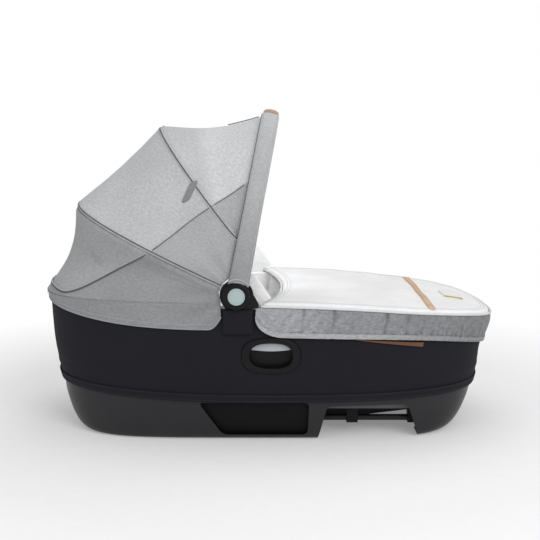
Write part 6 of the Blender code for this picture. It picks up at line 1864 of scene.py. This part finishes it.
@dataclass
class Apron:
    """The padded foot apron with its piping, gathered band, leather strip and bare patch."""

    rear: float = -0.0110
    bow: float = 0.036
    thickness: float = 0.0085
    edge_rise: float = 0.003
    lift: float = 0.0035
    foot_lift: float = 0.0065
    crown: float = 0.003
    crown_power: float = 2.8
    puff: float = 0.0014
    ripple: float = 0.0009
    middle: Pair = (0.215, 0.0)
    welt_share: float = 0.957
    stitch_share: float = 0.925
    cord: float = 0.0022
    cord_out: float = 0.0031
    band_from: float = -0.0238
    band_hem: float = 0.1895
    band_corner: Pair = (0.050, 0.034)
    band_wall: float = 0.0012
    lone_pleats: tuple[float, ...] = (0.081, 0.133, 0.166, 0.223, 0.261, 0.279)
    pleat_pitch: float = 0.0098
    pleat_depth: float = 0.0013
    crumple: float = 0.00065
    hem_width: float = 0.0088
    strip_x: float = 0.280
    strip_width: float = 0.013
    strip_reach: float = 0.982
    patch: tuple[float, float, float, float] = (0.341, -0.001, 0.036, 0.078)
    slot: str = "apron_fabric"

    def edge(self, count: int) -> Array:
        """The apron's edge as a loop at equal distances: round the foot end and back along the bowed rear."""
        end = PLAN.side_angle(self.rear)
        front = np.stack(PLAN.edge.at(np.linspace(-end, end, 4001), -GAP), axis=1)
        half = front[-1, 1]
        y = np.linspace(half, front[0, 1], 4001)[1:-1]
        back = np.stack([self.rear + self.bow * (1 - (np.abs(y) / half) ** 2.2), y], axis=1)
        return resample(np.concatenate([front, back, front[:1]]), count)

    def seat(self, x: Array) -> Array:
        """Height of the edge's underside: over the rim, and further over it round the foot."""
        return PLAN.rim_height(x) - 0.0002 + self.lift + self.foot_lift * ease(x, 0.22, 0.40)

    def height(self, x: Array, share: Array | float) -> Array:
        """Underside: crowned over the seat by one less a power of the share out to the edge."""
        return self.seat(x) + self.crown * (1 - share**self.crown_power)

    def rise(self, share: Array) -> Array:
        """The pad's thickness at a share: full inside, and a quarter round down to the edge."""
        near = 1 - np.clip((1 - share) / 0.045, 0, 1)
        return self.edge_rise + (self.thickness - self.edge_rise) * np.sqrt(np.clip(1 - near**2.2, 0, 1))

    def top_at(self, flat: Array, share: Array | float) -> Array:
        """Upper face over a place in plan, at its share of the way from the centre to the edge."""
        x, y, share = flat[..., 0], flat[..., 1], np.asarray(share, float)
        puff = self.puff * folds(x, y, 91, 6, 0.26, 0.20) * np.clip((1 - share) / 0.2, 0, 1)
        bearing = np.arctan2(y, x - self.middle[0])
        ripple = self.ripple * folds(bearing, 0 * x, 17, 5, 0.5, 1.0) * bump(share, 0.90, 0.07)
        return xyz(x, y, self.height(x, share) + self.rise(share) + puff + ripple)

    def drawn_in(self, loop: Array, share: float) -> Array:
        """The edge drawn in towards the centre, in plan."""
        return self.middle + share * (loop - self.middle)

    def top_ring(self, loop: Array, share: float) -> Array:
        """Upper face at a share of the way from the centre to each point of the edge."""
        return self.top_at(self.drawn_in(loop, share), share)

    def sew(self, name: str, line: Array, thread: Finish, slot: str, **sizes: float) -> None:
        """A row of stitches that rides the apron."""
        add_piece(name, thread, slot, *stitches(line, **sizes), body="apron")

    def build_top(self) -> None:
        """The pad: underside from its middle out to the edge, then the puffed upper face back in."""
        loop = self.edge(481)
        shares = np.concatenate([np.linspace(0, 0.9, 37), 1 - 0.09 * np.linspace(1, 0, 22) ** 1.6])
        rows = []
        for share in shares[:-1]:
            x, y = self.drawn_in(loop, share).T
            rows.append(xyz(x, y, self.height(x, share)))
        points = np.array(rows + [self.top_ring(loop, share) for share in shares[::-1]])
        pad = Grid(points, points[..., :2], {"shade": 1.0})
        top = add_piece("apron_pad", APRON_CLOTH, self.slot, pad, body="apron", node="apron_top")
        welt = tube(self.top_ring(loop, self.welt_share)[:-1] + (0, 0, 0.0001), 0.0008, 8, loop=True)
        add_piece("apron_inner_welt", APRON_EDGING, self.slot, welt, body="apron")
        self.sew("apron_stitches", self.top_ring(loop, self.stitch_share) + (0, 0, 0.0003), THREAD_PALE, self.slot)

    def build_piping(self) -> None:
        """The cord round the edge."""
        x, y = self.edge(481)[:-1].T
        place = xyz(x, y, self.height(x, 1.0) + self.edge_rise)
        heading = np.roll(place, -1, axis=0) - np.roll(place, 1, axis=0)
        place[:, :2] += self.cord_out * unit(heading[:, 1::-1] * (1, -1))
        cord = tube(place, self.cord, 12, loop=True)
        add_piece("apron_edge_cord", APRON_EDGING, self.slot, cord, body="apron", node="apron_piping")

    def band_low(self, x: Array) -> Array:
        """The band's hem: lower towards the foot, with a quarter of an ellipse up at its ends."""
        foot = np.clip(x / PLAN.foot, 0, 1)
        long, high = self.band_corner
        corner = high * (1 - np.sqrt(1 - np.clip(1 - (x - self.band_from) / long, 0, 1) ** 2))
        return self.band_hem + corner - 0.010 * foot - 0.026 * foot**5

    def gathers(self, walked: Array, share: float) -> Array:
        """How deep the pleats are drawn in, from 0 to 1, at distances along the band and a share of its height.

        A pleat is a bell round its place. The first ones stand alone, and then they come at
        an even pitch round the foot; each wanders a little, and fades towards mid-height.

        Args:
            walked: distance from the nearer end of the band.
            share: share of the band's height.

        Returns:
            The depth of the pleats.
        """
        walked = walked + 0.0030 * folds(walked, np.full_like(walked, share * 0.045), 61, 6, 0.05, 0.05)
        more = self.lone_pleats[-1] + self.pleat_pitch * np.arange(1, 40)
        places = np.concatenate([self.lone_pleats, more])
        numbers = np.arange(len(places))
        number = np.round(np.interp(walked, places, numbers, left=-0.5))
        near = np.abs(walked - np.interp(number, numbers, places))
        strength = 0.62 + 0.38 * np.sin(number * 2.4)
        lone = 0.35 + 0.65 * np.abs(2 * share - 1) ** (1.2 + 0.8 * np.sin(number * 1.3))
        alone = number < len(self.lone_pleats)
        held = np.where(alone, lone, 0.12 + 0.88 * (1 - share) ** 2.4)
        return strength * held * bump(near, 0, np.where(alone, 0.0034, 0.0026))

    def band_rows(self) -> tuple[Array, Array]:
        """The band's inner face from hem to piping, and the painted light and shade at each place."""
        end = PLAN.side_angle(self.band_from)
        angles = PLAN.even_angles(2001, -end, end)
        x, y = PLAN.cover(1.0).at(angles)
        low, high = self.band_low(x), self.seat(x)
        walked = length_along(np.stack([x, y], axis=1), 0)
        walked = np.minimum(walked, walked[-1] - walked)
        # Painted light near the rear corner and painted shade towards the foot.
        lit = 1.30 - 0.30 * ease(x, 0.03, 0.12) - 0.22 * ease(x, 0.15, 0.38)
        rows, band_painted_light_and_shade = [], []
        for share in np.linspace(0, 1, 40):
            z = low + share * (high - low)
            drawn = self.gathers(walked, share)
            crumple = self.crumple * folds(walked, share * np.full_like(walked, 0.045), 33, 9, 0.022, 0.03)
            depth = 0.0010 + self.pleat_depth * (1 - drawn) + crumple + 0.0007 * np.sin(math.pi * share)
            rows.append(PLAN.outwards(xyz(*PLAN.cover(PLAN.level_at(x, z)).at(angles), z), depth))
            # Painted shade in the pleats and in the crumples' hollows, painted light on the crumples' crests.
            band_painted_light_and_shade.append((1 - 0.60 * drawn) * lit * (1 + 280 * crumple))
        return np.array(rows), np.array(band_painted_light_and_shade)

    def build_band(self) -> None:
        """The gathered band, its paler turned hem and the stitching on it."""
        rows, band_painted_light_and_shade = self.band_rows()
        slot, options = "band_fabric", {"body": "apron", "away_from": (0.2, 0, 0.2)}
        grid = Grid(rows, None, {"shade": band_painted_light_and_shade})
        options["wall"] = self.band_wall
        band = add_piece("apron_gathered_band", BAND_CLOTH, slot, grid, node="apron_band", **options)
        declare_sheet([rows])
        count = rows.shape[1]
        ragged = self.hem_width + 0.0010 * folds(np.arange(count) * 0.0005, np.zeros(count), 47, 7, 0.02, 1.0)
        tall = np.maximum(rows[-1, :, 2] - rows[0, :, 2], 0.012)
        turned = (rows[-1] - rows[0]) * np.minimum(ragged / tall, 0.7)[:, None]
        face = PLAN.outwards(rows[0] + turned * np.linspace(0, 1, 9)[:, None, None], 0.0022)
        # Painted shade: the turned hem darkens towards the foot end.
        hem = Grid(face, None, {"shade": 1.0 - 0.42 * ease(rows[0, :, 0], 0.10, 0.38)})
        options["wall"] = 0.0008
        add_piece("apron_band_hem", HEM_CLOTH, slot, hem, **options)
        wave = 0.0011 * np.sin(np.arange(count) * FULL_TURN / 22)
        line = PLAN.outwards(rows[0] + turned * 0.55 + xyz(0, 0, wave), 0.0032)
        self.sew("apron_band_stitches", line[8:-8], THREAD_PALE, slot)

    def laid(self, x: Array, y: Array, lift: Array | float) -> Array:
        """Points over the pad's upper face."""
        flat = np.stack(np.broadcast_arrays(x, y), axis=-1)
        ring, away = self.edge(2001) - self.middle, flat - self.middle
        bearing = np.arctan2(ring[:, 1], ring[:, 0])
        order = np.argsort(bearing)
        ring_reach = np.linalg.norm(ring, axis=1)[order]
        reach = np.interp(np.arctan2(away[..., 1], away[..., 0]), bearing[order], ring_reach, period=FULL_TURN)
        points = self.top_at(flat, np.clip(np.linalg.norm(away, axis=-1) / reach, 0, 1))
        points[..., 2] += lift
        return points

    def build_strip(self) -> None:
        """The leather strip across the pad, a little narrower in its middle, stitched along both edges."""
        _, side = PLAN.edge.at(np.array([PLAN.side_angle(self.strip_x)]))
        reach = self.strip_reach * float(side[0])
        y = np.linspace(-reach, reach, 161)
        half = self.strip_width / 2 * (1 - 0.12 * np.cos(y / reach * math.pi / 2) ** 2)
        ends = np.sqrt(np.clip(1 - np.abs(y / reach) ** 60, 0, 1))
        over, out = outline(21, 4)
        x = self.strip_x + over * (half * ends)[:, None]
        strip = self.laid(x, y[:, None], 0.0010 + 0.0006 * out * ends[:, None])
        add_piece("apron_leather_strip", TAN_HIDE, "leather", strip, body="apron", node="apron_strip")
        for word, sign in (("head", -1), ("foot", 1)):
            line = self.laid((self.strip_x + sign * (half - 0.0016))[3:-3], y[3:-3], 0.0017)
            self.sew("apron_strip_stitches_" + word, line, THREAD_TAN, "leather", pitch=0.0035)

    def build_patch(self) -> None:
        """The bare sewn patch near the foot, with its mustard edge towards the side."""
        x0, y0, long, wide = self.patch
        px, py = outline(121, 7)
        share = np.array([0, 0.5, 0.9, 0.97, 1, 1, 0.9, 0])[:, None]
        lift = np.array([0.0018, 0.0018, 0.0018, 0.0016, 0.0011, 0.0003, 0.0002, 0.0002])[:, None]
        patch = self.laid(x0 + share * px * long / 2, y0 + share * py * wide / 2, lift)
        add_piece("apron_bare_patch", LABEL_CLOTH, self.slot, patch, body="apron", node="apron_patch")
        x = np.linspace(x0 - long / 2 + 0.001, x0 + long / 2 - 0.001, 40)
        edge = tube(self.laid(x, y0 - wide / 2 + 0.0022, 0.0017), 0.0030, flat=0.3)
        add_piece("apron_patch_edge", LABEL_EDGE, self.slot, edge, body="apron")
        line = self.laid(x0 + px * (long / 2 - 0.002), y0 + py * (wide / 2 - 0.002), 0.0019)
        self.sew("apron_patch_stitches", line, THREAD_PALE, self.slot, pitch=0.003, share=0.6, radius=0.0003)

    def build(self) -> None:
        """Makes every piece of the apron."""
        self.build_top()
        self.build_piping()
        self.build_band()
        self.build_strip()
        self.build_patch()


# Studio


@dataclass(frozen=True)
class Lamp:
    """A square soft lamp that points at a place and isn't seen itself."""

    name: str
    place: Point
    aim: Point
    size: float
    power: float

    def build(self) -> None:
        """Turns the lamp's own -Z from its place to its aim."""
        data = bpy.data.lights.new(self.name, "AREA")
        data.shape = "SQUARE"
        data.size = self.size
        data.energy = self.power
        lamp = bpy.data.objects.new(self.name, data)
        lamp.location = self.place
        x, y, z = np.array(self.place) - np.array(self.aim)
        lamp.rotation_euler = (math.atan2(math.hypot(x, y), z), 0, math.atan2(y, x) + math.pi / 2)
        lamp.visible_camera = False
        lamp.visible_glossy = self.size > 1
        bpy.context.scene.collection.objects.link(lamp)


@dataclass
class Studio:
    """Camera, lamps and the pale floor."""

    lens: float = 66.0
    distance: float = 1.848
    height: float = 0.559
    pitch: float = 81.2
    world_light: float = 0.55
    floor_size: float = 12.0
    floor_drop: float = 0.0004
    glow_from: float = 0.45
    glow_to: float = 1.05
    least_glow: float = 0.22
    lamps: tuple[Lamp, ...] = (
        Lamp("key", (1.1, -2.1, 1.7), (0, 0, 0.25), 1.6, 30),
        Lamp("fill", (-2.0, -1.6, 1.2), (0, 0, 0.25), 1.8, 8),
        Lamp("top", (0.3, 0.6, 2.6), (0, 0, 0.3), 2.0, 15),
        Lamp("inside", (-0.12, -0.03, 0.40), (-0.06, 0.20, 0.20), 0.12, 0.4),
    )

    def build_camera(self) -> None:
        """A long lens square to the right side, looking a little down."""
        data = bpy.data.cameras.new("camera")
        data.lens = self.lens
        data.sensor_width = 36.0
        data.clip_end = 50
        camera = bpy.data.objects.new("camera", data)
        camera.location = (0, -self.distance, self.height)
        camera.rotation_euler = (math.radians(self.pitch), 0, 0)
        bpy.context.scene.collection.objects.link(camera)
        bpy.context.scene.camera = camera

    def build_world(self) -> None:
        """White where the camera or glass sees it, and a soft grey light otherwise."""
        world = bpy.data.worlds.new("studio")
        world.use_nodes = True
        bpy.context.scene.world = world
        nodes, links = world.node_tree.nodes, world.node_tree.links
        background = nodes["Background"]
        background.inputs["Color"].default_value = (1, 1, 1, 1)
        path = nodes.new("ShaderNodeLightPath")
        seen = nodes.new("ShaderNodeMath")
        seen.operation = "MAXIMUM"
        links.new(path.outputs["Is Camera Ray"], seen.inputs[0])
        links.new(path.outputs["Is Transmission Ray"], seen.inputs[1])
        level = nodes.new("ShaderNodeMapRange")
        links.new(seen.outputs[0], level.inputs["Value"])
        level.inputs["To Min"].default_value = self.world_light
        level.inputs["To Max"].default_value = 1.0
        links.new(level.outputs[0], background.inputs["Strength"])

    def build_floor(self) -> None:
        """A wide level floor that keeps the shadow near the object and is white further off."""
        x, y = np.meshgrid(*[np.linspace(-self.floor_size, self.floor_size, 3)] * 2)
        floor = make_piece("floor", xyz(x, y, -self.floor_drop), away_from=(0, 0, -1))
        tree = Tree("floor_paper")
        place = tree.place(Lie.SOLID)
        grain = tree.noise(place, 40, 3)
        colour = tree.blend(tree.between(grain, 0.3, 0.7), rgba((0.90, 0.90, 0.90)), rgba((0.92, 0.92, 0.92)))
        tree.finish(colour, 0.9, tree.relief(grain, 0.0001, 0.2), specular_ior_level=0.1)
        glow = tree.add("Emission", {"Color": (1, 1, 1, 1), "Strength": 1.0})
        path = tree.add("LightPath")
        flat = tree.add("VectorMath", {"Vector": place}, operation="LENGTH")
        far = tree.between(flat.outputs["Value"], self.glow_from, self.glow_to)
        seen = tree.sum("MAXIMUM", path.outputs["Is Camera Ray"], path.outputs["Is Glossy Ray"])
        share = tree.sum("MULTIPLY", tree.sum("MAXIMUM", far, self.least_glow), seen)
        mix = tree.add("MixShader", {0: share, 1: tree.shader.outputs[0], 2: glow.outputs[0]})
        tree.join(mix.outputs[0], tree.material.node_tree.nodes["Material Output"].inputs["Surface"])
        floor.data.materials.append(tree.material)

    def build(self) -> None:
        """Makes the camera, the world, the floor and the lamps."""
        self.build_camera()
        self.build_world()
        self.build_floor()
        for lamp in self.lamps:
            lamp.build()
        bpy.context.scene.view_settings.view_transform = "Standard"


def main() -> None:
    """Builds the studio and every sub-assembly."""
    logging.basicConfig(level=logging.INFO, format="%(name)s %(message)s")
    Studio().build()
    Base().build()
    SideCover().build()
    Liner().build()
    Bed().build()
    for side in Side:
        Grip(side).build()
        Hub(side).build()
    Handle().build()
    Canopy().build()
    Apron().build()


if __name__ == "__main__":
    main()
